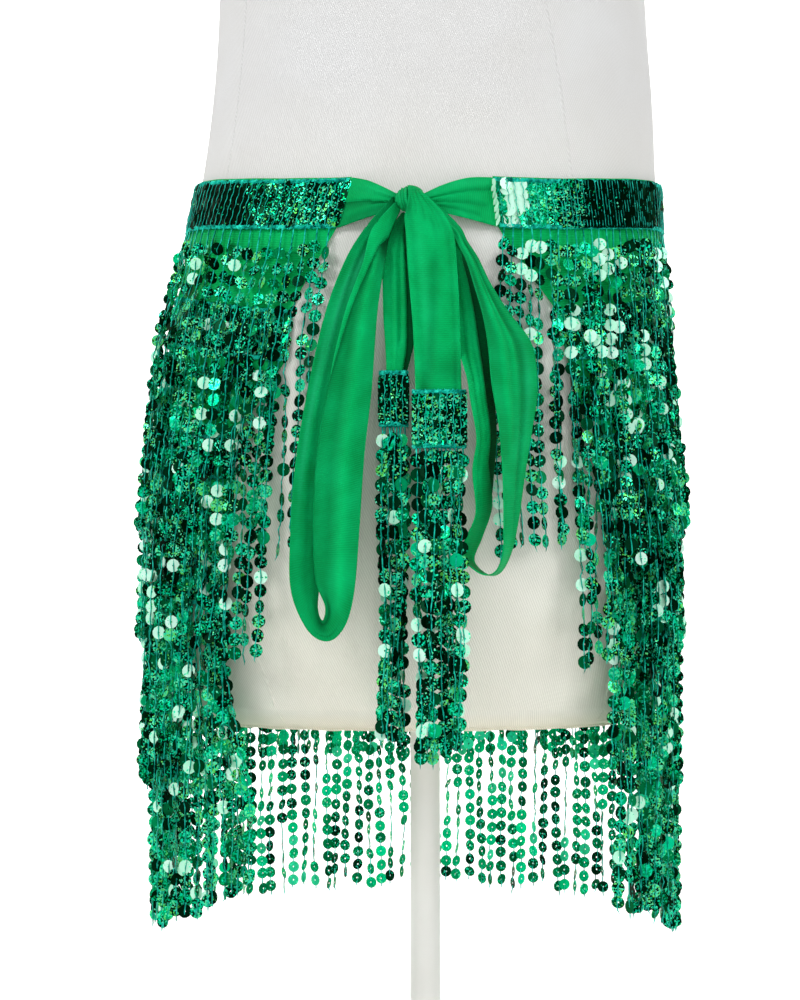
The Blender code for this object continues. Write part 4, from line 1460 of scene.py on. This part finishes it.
LOOP_RIGHT = (
    (12.3, -137.0, 552.0, 17.6, -133.5, 556.2),
    (18.4, -141.5, 541.1, 23.5, -136.0, 545.0),
    (22.9, -146.0, 530.5, 29.6, -139.5, 534.1),
    (27.2, -150.0, 515.0, 36.9, -141.5, 518.2),
    (31.9, -152.5, 496.8, 47.7, -142.5, 500.4),
    (34.7, -153.5, 479.0, 60.9, -142.5, 481.2),
    (36.8, -155.0, 455.4, 64.0, -143.0, 455.5),
    (40.6, -157.0, 431.9, 61.2, -143.0, 433.0),
    (42.7, -158.0, 402.8, 56.6, -143.0, 404.7),
    (43.2, -158.0, 375.1, 52.6, -143.0, 377.1),
    (42.5, -158.0, 356.8, 48.4, -143.0, 358.3),
    (37.3, -156.5, 345.9, 41.9, -142.0, 346.5),
    (28.7, -150.0, 345.9, 33.7, -136.5, 345.4),
    (18.6, -142.3, 356.0, 26.2, -130.0, 354.3),
    (20.6, -142.5, 366.4, 30.9, -132.0, 368.3),
    (26.4, -150.0, 381.4, 36.2, -137.0, 384.7),
    (24.6, -154.0, 405.5, 38.7, -141.0, 408.2),
    (26.8, -156.5, 424.1, 39.9, -143.5, 429.4),
    (23.5, -155.0, 446.3, 38.3, -143.0, 453.2),
    (21.8, -151.5, 460.0, 37.5, -140.5, 466.0),
    (17.4, -142.6, 480.0, 37.0, -137.5, 484.0),
    (16.2, -141.3, 500.7, 33.5, -135.5, 503.8),
    (14.7, -139.6, 517.8, 29.5, -134.0, 520.6),
    (13.6, -137.6, 531.3, 25.0, -132.5, 533.8),
    (12.6, -135.2, 543.7, 20.5, -131.0, 546.3),
)
TAIL_LEFT = (
    (-23.6, -129.5, 551.5, -9.6, -129.5, 552.8),
    (-27.4, -132.0, 538.5, -8.4, -132.5, 538.6),
    (-27.2, -134.2, 524.3, -8.0, -134.0, 524.5),
    (-26.6, -137.0, 498.8, -7.6, -136.5, 498.9),
    (-25.4, -138.0, 481.2, -9.4, -138.0, 481.2),
    (-24.7, -138.5, 465.3, -13.5, -138.5, 465.3),
)
TAIL_RIGHT = (
    (-11.6, -138.9, 572.8, -3.0, -137.6, 573.5),
    (-12.6, -140.0, 564.4, 5.4, -139.5, 564.6),
    (-14.0, -141.5, 558.0, 11.0, -140.5, 557.0),
    (-13.2, -143.0, 547.3, 14.7, -142.0, 546.4),
    (-12.0, -145.0, 526.4, 16.4, -144.0, 526.7),
    (-9.4, -146.5, 495.1, 17.9, -145.5, 495.3),
    (-8.2, -147.0, 470.1, 18.4, -147.0, 470.1),
    (-7.6, -147.0, 452.7, 18.7, -147.0, 452.7),
)
# share of a strap's way to the knot, how far it bulges forwards there, and how far its top edge rises
STRAP_SECTIONS = {
    "tie_left": ((0.35, 1.5, 1.4), (0.70, 1.0, 1.0)),
    "tie_right": ((0.35, 1.5, 3.0), (0.70, 1.0, 2.6)),
}

print("sections:", *(len(table) for table in (LOOP_LEFT, LOOP_RIGHT, TAIL_LEFT, TAIL_RIGHT)))

# %% [markdown]
# ## Edges of a ribbon
# A ribbon starts at the knot or at the waistband's front end, and must touch them without sinking in.
# These helpers find those places, and join a table's sections by a smooth curve.

# %% Edges of a ribbon
RIBBON_STEPS = 10
RIBBON_COLUMNS = 33


def knot_exit(direction):
    """Where a ribbon leaves the knot: the ellipsoid's surface in that direction, a little farther out."""
    direction = unit(np.asarray(direction, float))
    reach = 1.0 / np.linalg.norm(direction / KNOT_HALF)
    return KNOT_MIDDLE + direction * (reach + KNOT_CLEAR)


def exit_row(name):
    """A section's six numbers at the knot."""
    first, second = KNOT_EXITS[name]
    return (*knot_exit(first), *knot_exit(second))


def off_knot(points):
    """Points too near the knot are moved straight out from its middle until they clear it."""
    away = points - KNOT_MIDDLE
    far = np.linalg.norm(away, axis=-1, keepdims=True)
    reach = far / np.maximum(np.linalg.norm(away / KNOT_HALF, axis=-1, keepdims=True), 1e-9) + KNOT_CLEAR
    return np.where(far < reach, KNOT_MIDDLE + away / np.maximum(far, 1e-9) * reach, points)


def curve_through(rows, steps):
    """A Catmull-Rom curve through a table's rows: each stretch is a cubic of four neighbouring rows."""
    rows = np.asarray(rows, float)
    padded = np.concatenate((rows[:1], rows, rows[-1:]))
    t = (np.arange(steps) / steps)[None, :, None]
    a, b, c, d = (padded[k:k + len(rows) - 1, None, :] for k in range(4))
    curve = 0.5 * (2.0 * b + (c - a) * t + (2.0 * a - 5.0 * b + 4.0 * c - d) * t ** 2
                   + (3.0 * b - a - 3.0 * c + d) * t ** 3)
    return np.concatenate((curve.reshape(-1, rows.shape[1]), rows[-1:]))


def strap_table(side, name):
    """A strap's sections, from just past the waistband's front end to the knot."""
    corner = []
    for level in TIERS[0][:2]:
        start, end = cloth_span(level)
        point = on_cloth(np.asarray(end if side < 0 else start), level, BAND_OUT) / MM
        point[0] -= side * 2.0 * GAP / MM
        corner.append(point)
    rows = [np.concatenate(corner)]
    knot = np.array(exit_row(name))
    for share, bulge, rise in STRAP_SECTIONS[name]:
        row = rows[0] + (knot - rows[0]) * share
        row[[1, 4]] -= bulge
        row[2] += rise
        rows.append(row)
    return np.array(rows + [knot])


print("the knot is", [round(2 * size, 1) for size in KNOT_HALF], "mm in size")

# %% [markdown]
# ## Shades, creases and laps
# Soft cloth that was tied and untied keeps creases, and where it is folded double one half laps over the
# other. Folds also shade each other, more than thin geometry can. All three are short tables of where
# along the ribbon and where across it.

# %% Shades, creases and laps
# painted shade beside the knot, then patches: way along, place across, reach along and across, painted shade,
# painted light where sheer cloth looks lighter
SHADES = {
    "tie_left": (0.45, ((0.50, 0.88, 0.60, 0.28, 0.25, 0.0), (0.60, 0.20, 0.50, 0.12, 0.0, 0.12))),
    "tie_right": (0.45, ((0.85, 0.90, 0.30, 0.22, 0.30, 0.0), (0.30, 0.10, 0.50, 0.08, 0.0, 0.15))),
    "loop_left": (0.60, (
        (0.085, 0.00, 0.035, 0.40, 0.75, 0.0), (0.52, 0.60, 0.025, 0.30, 0.35, 0.0),
        (0.45, 0.80, 0.060, 0.12, 0.30, 0.0), (0.90, 0.62, 0.050, 0.11, 0.0, 0.60),
        (0.85, 0.40, 0.050, 0.09, 0.0, 0.55), (0.77, 0.22, 0.070, 0.08, 0.0, 0.45),
        (0.66, 0.85, 0.100, 0.16, 0.35, 0.0))),
    "loop_right": (0.55, (
        (0.90, 0.90, 0.060, 0.30, 0.90, 0.0), (0.81, 0.90, 0.060, 0.32, 0.90, 0.0),
        (0.72, 0.92, 0.060, 0.28, 0.85, 0.0), (0.64, 0.85, 0.040, 0.25, 0.60, 0.0),
        (0.16, 0.10, 0.080, 0.16, 0.35, 0.0), (0.27, 0.80, 0.050, 0.08, 0.0, 0.25))),
    "tail_left": (0.70, (
        (0.10, 0.50, 0.150, 0.90, 0.60, 0.0), (0.34, 1.00, 0.160, 0.28, 0.80, 0.0),
        (0.62, 1.00, 0.200, 0.24, 0.85, 0.0), (0.90, 1.00, 0.140, 0.22, 0.80, 0.0))),
    "tail_right": (0.08, (
        (0.90, 0.80, 0.050, 0.38, 0.30, 0.0), (0.28, 0.02, 0.120, 0.10, 0.45, 0.0),
        (0.42, 0.62, 0.100, 0.05, 0.20, 0.0), (0.70, 0.30, 0.200, 0.10, 0.0, 0.10))),
}
# creases: place across at the start and at the end, width, depth in mm, where along it begins and ends
CREASES = {
    "tie_left": ((0.20, 0.40, 0.07, 0.8, 0.05, 1.1), (0.80, 0.60, 0.09, -0.8, 0.1, 1.1),
                 (0.66, 0.55, 0.04, 0.8, 0.45, 1.1), (0.08, 0.30, 0.05, -0.6, 0.3, 1.1)),
    "tie_right": ((0.22, 0.42, 0.05, -1.1, 0.0, 1.1), (0.36, 0.49, 0.05, 0.7, 0.3, 1.1),
                  (0.60, 0.60, 0.06, -1.0, 0.1, 1.1), (0.88, 0.74, 0.05, -0.9, 0.2, 1.1),
                  (0.74, 0.67, 0.04, 0.7, 0.4, 1.1)),
    "loop_left": ((0.45, 0.25, 0.14, -1.0, 0.05, 0.45), (0.70, 0.60, 0.10, 0.4, 0.12, 0.40),
                  (0.30, 0.60, 0.14, 0.4, 0.55, 1.0), (0.70, 0.30, 0.10, -0.35, 0.60, 0.98),
                  (0.35, 0.10, 0.06, 0.8, 0.44, 0.56), (0.72, 0.95, 0.07, 0.9, 0.40, 0.54)),
    "loop_right": ((0.35, 0.25, 0.08, 1.2, 0.0, 0.34), (0.72, 0.60, 0.09, -1.0, 0.02, 0.40),
                   (0.55, 0.45, 0.05, 0.9, 0.10, 0.30), (0.22, 0.26, 0.08, 1.3, 0.60, 0.97),
                   (0.50, 0.55, 0.05, -0.8, 0.64, 0.86)),
    "tail_left": ((0.58, 0.52, 0.08, -0.9, 0.10, 0.85), (0.22, 0.28, 0.09, -0.6, 0.05, 1.1),
                  (0.40, 0.36, 0.06, 0.5, 0.30, 1.1)),
    "tail_right": ((0.12, 0.16, 0.07, -0.6, 0.10, 1.1), (0.86, 0.90, 0.06, -0.7, 0.15, 1.1),
                   (1.10, 0.20, 0.12, -1.1, 0.55, 1.1), (0.52, 0.36, 0.05, -0.6, 0.0, 0.42),
                   (0.28, 0.24, 0.04, -0.5, 0.0, 0.36), (0.76, 0.70, 0.04, -0.6, 0.0, 0.50)),
}
# laps: height of the step in mm, then pairs of the way along the ribbon and the place across it
LAPS = {
    "tie_left": ((1.4, (0.0, 0.48), (0.5, 0.50), (1.0, 0.55)),),
    "loop_left": ((-2.2, (0.0, 0.02), (0.056, 0.05), (0.083, 0.45), (0.111, 0.70), (0.139, 0.83),
                   (0.167, 0.90), (0.20, 1.00), (0.24, 1.15), (1.0, 1.15)),),
    "loop_right": ((1.4, (0.0, 1.20), (0.60, 1.20), (0.66, 0.66), (0.90, 0.58), (1.0, 0.55)),),
    "tail_left": ((-1.8, (0.0, 0.50), (0.3, 0.68), (0.7, 0.71), (1.0, 0.80)),),
}
print("creases:", sum(len(rows) for rows in CREASES.values()), "laps:", len(LAPS))

# %% [markdown]
# ## Folds and shade
# A crease is a soft trough and a lap is a small step. Both only move the ribbon's points square to it,
# so seen from the front its outline stays where the table puts it.

# %% Folds and shade
LAP_WIDTH = 0.06
LAP_START = 0.04
CREASE_FADE = 0.06
TROUGH_SHADE = 0.28
LAP_SHADE = 0.50
LAP_SHADE_WIDE = 0.10
KNOT_SHADE_WIDE = 4.5


def lap_places(lap, run):
    """Where across the ribbon a lap's edge lies, read from its pairs of way along and place across."""
    pairs = np.array(lap[1:])
    return np.interp(run, pairs[:, 0], pairs[:, 1])


def fold_depth(node, laps, across, run):
    """A crease is a soft trough: its depth * exp(-((across - its place) / its width) squared). A lap is a
    step where one side of the ribbon lies folded on the other."""
    depth = np.zeros((len(run), RIBBON_COLUMNS))
    for start, end, width, size, begins, ends in CREASES[node]:
        place = start + (end - start) * run
        fade = share_of((run - begins) / CREASE_FADE) * share_of((ends - run) / CREASE_FADE)
        depth += size * fade * np.exp(-((across - place) / width) ** 2)
    for lap in laps:
        past = share_of((across - lap_places(lap, run)) / LAP_WIDTH + 0.5)
        depth += lap[0] * (eased(past) - 0.5) * share_of(run / LAP_START)
    return depth


def paint_shade(name, points, away, depth, laps, across, run):
    """Red is painted shade: of troughs on the side that faces forward, of the lower side of each lap, near
    the knot and in the painted patches. Green is painted light, where the sheer cloth looks lighter, from its
    own patches."""
    forward = np.where(away[..., 1] > 0.0, -1.0, 1.0)
    shade = TROUGH_SHADE * np.clip(-forward * depth, 0.0, 1.6)
    for lap in laps:
        below = (across - lap_places(lap, run)) * np.sign(-lap[0]) * forward
        shade += LAP_SHADE * np.where(below > 0.0, np.exp(-np.abs(below) / LAP_SHADE_WIDE), 0.0)
    offset = points - KNOT_MIDDLE
    far = np.linalg.norm(offset, axis=-1)
    gap = far - far / np.maximum(np.linalg.norm(offset / KNOT_HALF, axis=-1), 1e-9)
    near, patches = SHADES[name]
    shade += near * np.exp(-np.maximum(gap, 0.0) / KNOT_SHADE_WIDE)
    painted_light = np.zeros_like(shade)
    for at, place, long, wide, dark, light in patches:
        fall = np.exp(-((run - at) / long) ** 2 - ((across - place) / wide) ** 2)
        shade += dark * fall
        painted_light += light * fall
    return stacked(np.clip(shade, 0.0, 0.95), np.clip(painted_light, 0.0, 0.9), 0.0, 1.0)


print("a lap's step is", LAP_WIDTH, "of the ribbon's width wide")

# %% [markdown]
# ## Ribbons with hems
# A ribbon is a sheet with a thin wall and a rolled hem on each edge. The hem is a fine cord, because a
# bare edge would look cut from paper.

# %% Ribbons with hems
RIBBON_WALL = 0.7 * MM
HEM_CORD = 0.42 * MM
HEM_SIDES = 6
# painted light given to every hem cord
HEM_PAINTED_LIGHT = 0.06


def make_hems(node, laps, points, tone, run):
    """Thin cords on the ribbon's two edges and on the edge of each lap. The edge cords get the painted shade
    of the cloth beside them, and all cords a little painted light.
    """
    cords = [points[:, 0], points[:, -1]]
    for lap in laps:
        place = share_of(lap_places(lap, run[:, 0])) * (RIBBON_COLUMNS - 1)
        near = np.clip(place.astype(int), 0, RIBBON_COLUMNS - 2)
        part = (place - near)[:, None]
        rows = np.arange(len(points))
        cords.append(points[rows, near] * (1.0 - part) + points[rows, near + 1] * part)
    cord_points, faces = tubes(cords, HEM_CORD, HEM_SIDES)
    uv = stacked(cord_points[:, 0] + cord_points[:, 1], cord_points[:, 2])
    shade = np.concatenate([tone[:, 0, 0], tone[:, -1, 0]] + [0.0 * tone[:, 0, 0]] * len(laps))
    cord_tone = stacked(np.repeat(shade, HEM_SIDES), HEM_PAINTED_LIGHT, 0.0, 1.0)
    hem = make_piece(f"{node}_cloth_hem", cord_points, faces, tie_cloth, slot="green_mesh_cloth", uv=uv,
                     tone=cord_tone)
    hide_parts(node)


def make_ribbon(node, table):
    """Straight lines between the two edges at each section, moved square to the ribbon by its folds, with
    a wall and hems."""
    name, laps = f"{node}_cloth", LAPS.get(node, ())
    edges = curve_through(table, RIBBON_STEPS)
    first, second = edges[:, None, :3], edges[:, None, 3:]
    across = np.linspace(0.0, 1.0, RIBBON_COLUMNS)[None, :]
    points = first + (second - first) * across[..., None]
    along = np.gradient(0.5 * (edges[:, :3] + edges[:, 3:]), axis=0)
    away = unit(np.cross(along, (edges[:, 3:] - edges[:, :3])))[:, None, :]
    run = np.linspace(0.0, 1.0, len(edges))[:, None]
    depth = fold_depth(node, laps, across, run)
    points = off_knot(points + away * depth[..., None])
    tone = paint_shade(node, points, away, depth, laps, across, run)
    points = points * MM
    length = distance_along(points.mean(axis=1))
    wide = np.linalg.norm(points[:, -1] - points[:, 0], axis=-1)
    uv = stacked(across * wide.max(), length[:, None])
    piece = make_piece(name, points, grid_faces(len(edges), RIBBON_COLUMNS), tie_cloth,
                       slot="green_mesh_cloth", uv=uv, tone=tone)
    wall = piece.modifiers.new("wall", "SOLIDIFY")
    wall.thickness = RIBBON_WALL
    wall.offset = 0.0
    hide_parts(node)
    make_hems(node, laps, points, tone, run)


for side, name in ((-1, "tie_left"), (1, "tie_right")):
    make_ribbon(name, strap_table(side, name))
for name, table in (("loop_left", LOOP_LEFT), ("loop_right", LOOP_RIGHT)):
    make_ribbon(name, [exit_row(f"{name}_front"), *table, exit_row(f"{name}_back")])
for name, table in (("tail_left", TAIL_LEFT), ("tail_right", TAIL_RIGHT)):
    make_ribbon(name, [exit_row(name), *table])

# %% [markdown]
# ## Knot
# The tie wraps once round itself, and the wrap gathers into a few folds that run over the knot.

# %% The wrap
KNOT_AROUND = 64
KNOT_RINGS = 110
# painted light given to the whole wrap
KNOT_PAINTED_LIGHT = 0.10
KNOT_WRAP_WIDE = 0.018
KNOT_WRAP_LONG = 0.05


def make_knot():
    """An ellipsoid whose radius is cut by gathers: 1 + depth * sine of the way round its short side."""
    around = 2.0 * math.pi * np.arange(KNOT_AROUND + 1) / KNOT_AROUND
    upright = np.linspace(-0.5 * math.pi, 0.5 * math.pi, KNOT_RINGS)[:, None]
    ball = stacked(np.sin(upright), np.cos(upright) * np.cos(around), np.cos(upright) * np.sin(around))
    bent = upright + 0.16 * np.sin(around) + 0.08 * np.sin(2.0 * around + 1.0)
    folds = (0.050 * np.sin(23.0 * bent) + 0.032 * np.sin(37.0 * bent + 1.0)) * np.cos(upright)
    points = (KNOT_MIDDLE + KNOT_HALF * ball * (1.0 + folds[..., None])) * MM
    # Painted shade in the troughs of the gathers, and the wrap's painted light.
    tone = stacked(np.clip(-9.0 * folds, 0.0, 0.7), KNOT_PAINTED_LIGHT, 0.0, 1.0)
    uv = stacked(KNOT_WRAP_WIDE * upright / math.pi, KNOT_WRAP_LONG * around / (2.0 * math.pi))
    piece = make_piece("knot_wrap", points, grid_faces(KNOT_RINGS, KNOT_AROUND + 1)[:, ::-1], tie_cloth,
                       slot="green_mesh_cloth", uv=uv, tone=tone, weld=True)
    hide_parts("bow_knot")


make_knot()

# %% [markdown]
# ## Tassels
# Each tail ends in a short sequined cap, made like a piece of the band folded round the tie, and a
# handful of strands hangs from it.

# %% Caps and their strands
# in mm: middle, depth, cap's half width, top, bottom, strands' middle and half width at the end, lowest
# point
TASSELS = {
    "tassel_left": (-20.8, -138.5, 8.6, 464.8, 434.4, -21.3, 10.7, 245.0),
    "tassel_right": (6.0, -147.0, 15.9, 452.4, 420.7, 6.9, 16.3, 234.3),
}
TASSEL_STRANDS = {"tassel_left": 8, "tassel_right": 12}
# bare thread above the first sequin in mm, at least and at most
TASSEL_BARE = {"tassel_left": (3.0, 14.0), "tassel_right": (1.0, 6.0)}
CAP_SEQUINS = 8
CAP_STEPS = 15
TASSEL_TURN = math.radians(16.0)
CAP_EDGE = 3.4 * MM
CAP_DEPTH = 1.7 * MM
CAP_THREAD_DEPTH = 3.3 * MM


def cap_faces(luck, middle, depth, half, top, bottom):
    """Columns of discs on the front and the back of a flat cap, and a wavy thread over each column."""
    columns = max(3, round(2.0 * half / COLUMN_PITCH))
    x = middle + (np.arange(columns) + 0.5 - 0.5 * columns) * 2.0 * (half - 1.5 * MM) / columns
    z = np.linspace(top - CAP_EDGE, bottom + CAP_EDGE, CAP_SEQUINS)
    parts, paths = [], []
    for face in (-1.0, 1.0):
        grid = stacked(x[None, :], depth + face * CAP_DEPTH, z[:, None]).reshape(-1, 3)
        grid = grid + luck.uniform(0.0, 0.5 * MM, grid.shape) * (0.0, face, 0.0)
        turn = luck.normal(0.0, math.radians(9.0), len(grid))[:, None]
        tilt = TILE_TILT + luck.normal(0.0, math.radians(4.0), len(grid))[:, None]
        side = np.cos(turn) * (1.0, 0.0, 0.0) + np.sin(turn) * (0.0, face, 0.0)
        facing = np.ones((len(grid), 1)) * (0.0, face, 0.0)
        parts.append((grid, side, unit(UP * np.cos(tilt) - facing * np.sin(tilt))))
        wavy = x[:, None] + 0.4 * MM * np.sin(np.arange(CAP_STEPS) * 1.6)
        levels = np.linspace(top, bottom, CAP_STEPS)[None, :]
        paths.append(stacked(wavy, depth + face * CAP_THREAD_DEPTH, levels))
    return [np.concatenate(part) for part in zip(*parts)], np.concatenate(paths)


def tassel_lines(luck, name):
    """The strands' roots, and points down each: they spread from the cap's width to the end width, every
    second one a little in front."""
    middle, depth, half, _, bottom, end_middle, end_half, lowest = (v * MM for v in TASSELS[name])
    count = TASSEL_STRANDS[name]
    place = (np.arange(count) + 0.5) / count * 2.0 - 1.0
    start_x = middle + place * (half - 1.0 * MM)
    end_x = end_middle + place * (end_half - 3.0 * MM) + luck.normal(0.0, 1.0 * MM, count)
    forward = np.where(np.arange(count) % 2, 0.5 * MM, -6.0 * MM) + luck.normal(0.0, STRAND_CHANCE, count)
    bare = luck.uniform(*TASSEL_BARE[name], (count, 1)) * MM
    length = (bottom - lowest) * (1.0 - luck.uniform(0.0, 0.07, (count, 1)))
    down = strand_steps(bare, length)
    share = down / (bottom - lowest)
    sway = 1.2 * MM * np.sin(share * 9.0 + luck.uniform(0.0, 6.3, (count, 1)))
    spread = share_of(share * 3.0)
    line = stacked(start_x[:, None] + (end_x - start_x)[:, None] * share ** 0.8 + sway * spread,
                   depth + forward[:, None] * spread * (1.0 - 0.25 * share), bottom - down)
    return stacked(start_x, depth, bottom)[:, None, :], line


print("strands on the tassels:", TASSEL_STRANDS)

# %% [markdown]
# ## Making the tassels
# Cap and strands are one piece of sequins and one of threads, as each tassel is one solid. A cap's flat
# sequins face one way and mirror little light, so their painted tones are darkened afterwards, as painted
# shade.

# %% Make the tassels
# share of its painted light that each cap keeps
CAP_LIGHT = {"tassel_left": 0.45, "tassel_right": 0.75}
CAP_EDGE_STEPS = 90


def make_tassel(name, seed):
    """The cap's discs and the strands' sequins as one piece, and all threads and stitches as another."""
    middle, depth, half, top, bottom = (v * MM for v in TASSELS[name][:5])
    luck = np.random.default_rng(seed)
    cap, cap_paths = cap_faces(luck, middle, depth, half, top, bottom)
    root, line = tassel_lines(luck, name)
    beads = line[:, 1::2]
    walk = np.cumsum(luck.normal(0.0, TASSEL_TURN, beads.shape[:2]), axis=1)
    walk = walk + luck.normal(0.0, TASSEL_TURN, beads.shape[:2])
    side = stacked(np.cos(walk), -np.sin(walk), 0.0)
    facing = np.cross(side, UP)
    tilt = luck.normal(0.0, TILT_CHANCE, beads.shape[:2])[..., None]
    hung = (beads, side, UP * np.cos(tilt) - facing * np.sin(tilt))
    flat = [np.concatenate((part, more.reshape(-1, 3))) for part, more in zip(cap, hung)]
    tone = tones(flat[0][:, 0] * 40.0, flat[0][:, 2], np.zeros(len(flat[0])), 0.10, seed + 1)
    on_cap = tone[:len(cap[0])]
    # The cap's tones are darkened as painted shade, and its painted bright reflections are dimmed too.
    on_cap[:, 0] = np.where(on_cap[:, 0] > FACED, 0.4, on_cap[:, 0]) * CAP_LIGHT[name]
    on_cap[:, 1] = np.clip(on_cap[:, 1] + 0.18, 0.2, 0.7) * CAP_LIGHT[name]
    make_sequins(name, *flat, STRAND_CORNERS, tone)
    knots = line.copy()
    knots[:, 1::2] += THREAD_OFF * facing * np.where(facing[..., 1:2] > 0.0, -1.0, 1.0)
    knots = knots + luck.normal(0.0, THREAD_CHANCE, knots.shape)
    strands = strand_tubes(luck, root, knots)
    turn = np.linspace(0.0, 2.0 * math.pi, CAP_EDGE_STEPS)
    edges = []
    for level in (top, bottom):
        x, y = middle + (half - 0.5 * MM) * rounded(np.cos(turn)), depth + 2.4 * MM * np.sin(turn)
        edges.append(chain_stitch(stacked(x, y, level), np.array((0.0, -1.0, 0.0)), seed + int(level / MM)))
    make_threads(name, strands, tubes(cap_paths, BAND_THREAD, 3), *edges)


for name, seed in (("tassel_left", 501), ("tassel_right", 511)):
    make_tassel(name, seed)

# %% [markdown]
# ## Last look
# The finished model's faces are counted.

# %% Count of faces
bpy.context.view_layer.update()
total = sum(len(thing.data.polygons) for thing in bpy.context.scene.objects if thing.type == "MESH")
print("polygons in all:", total)
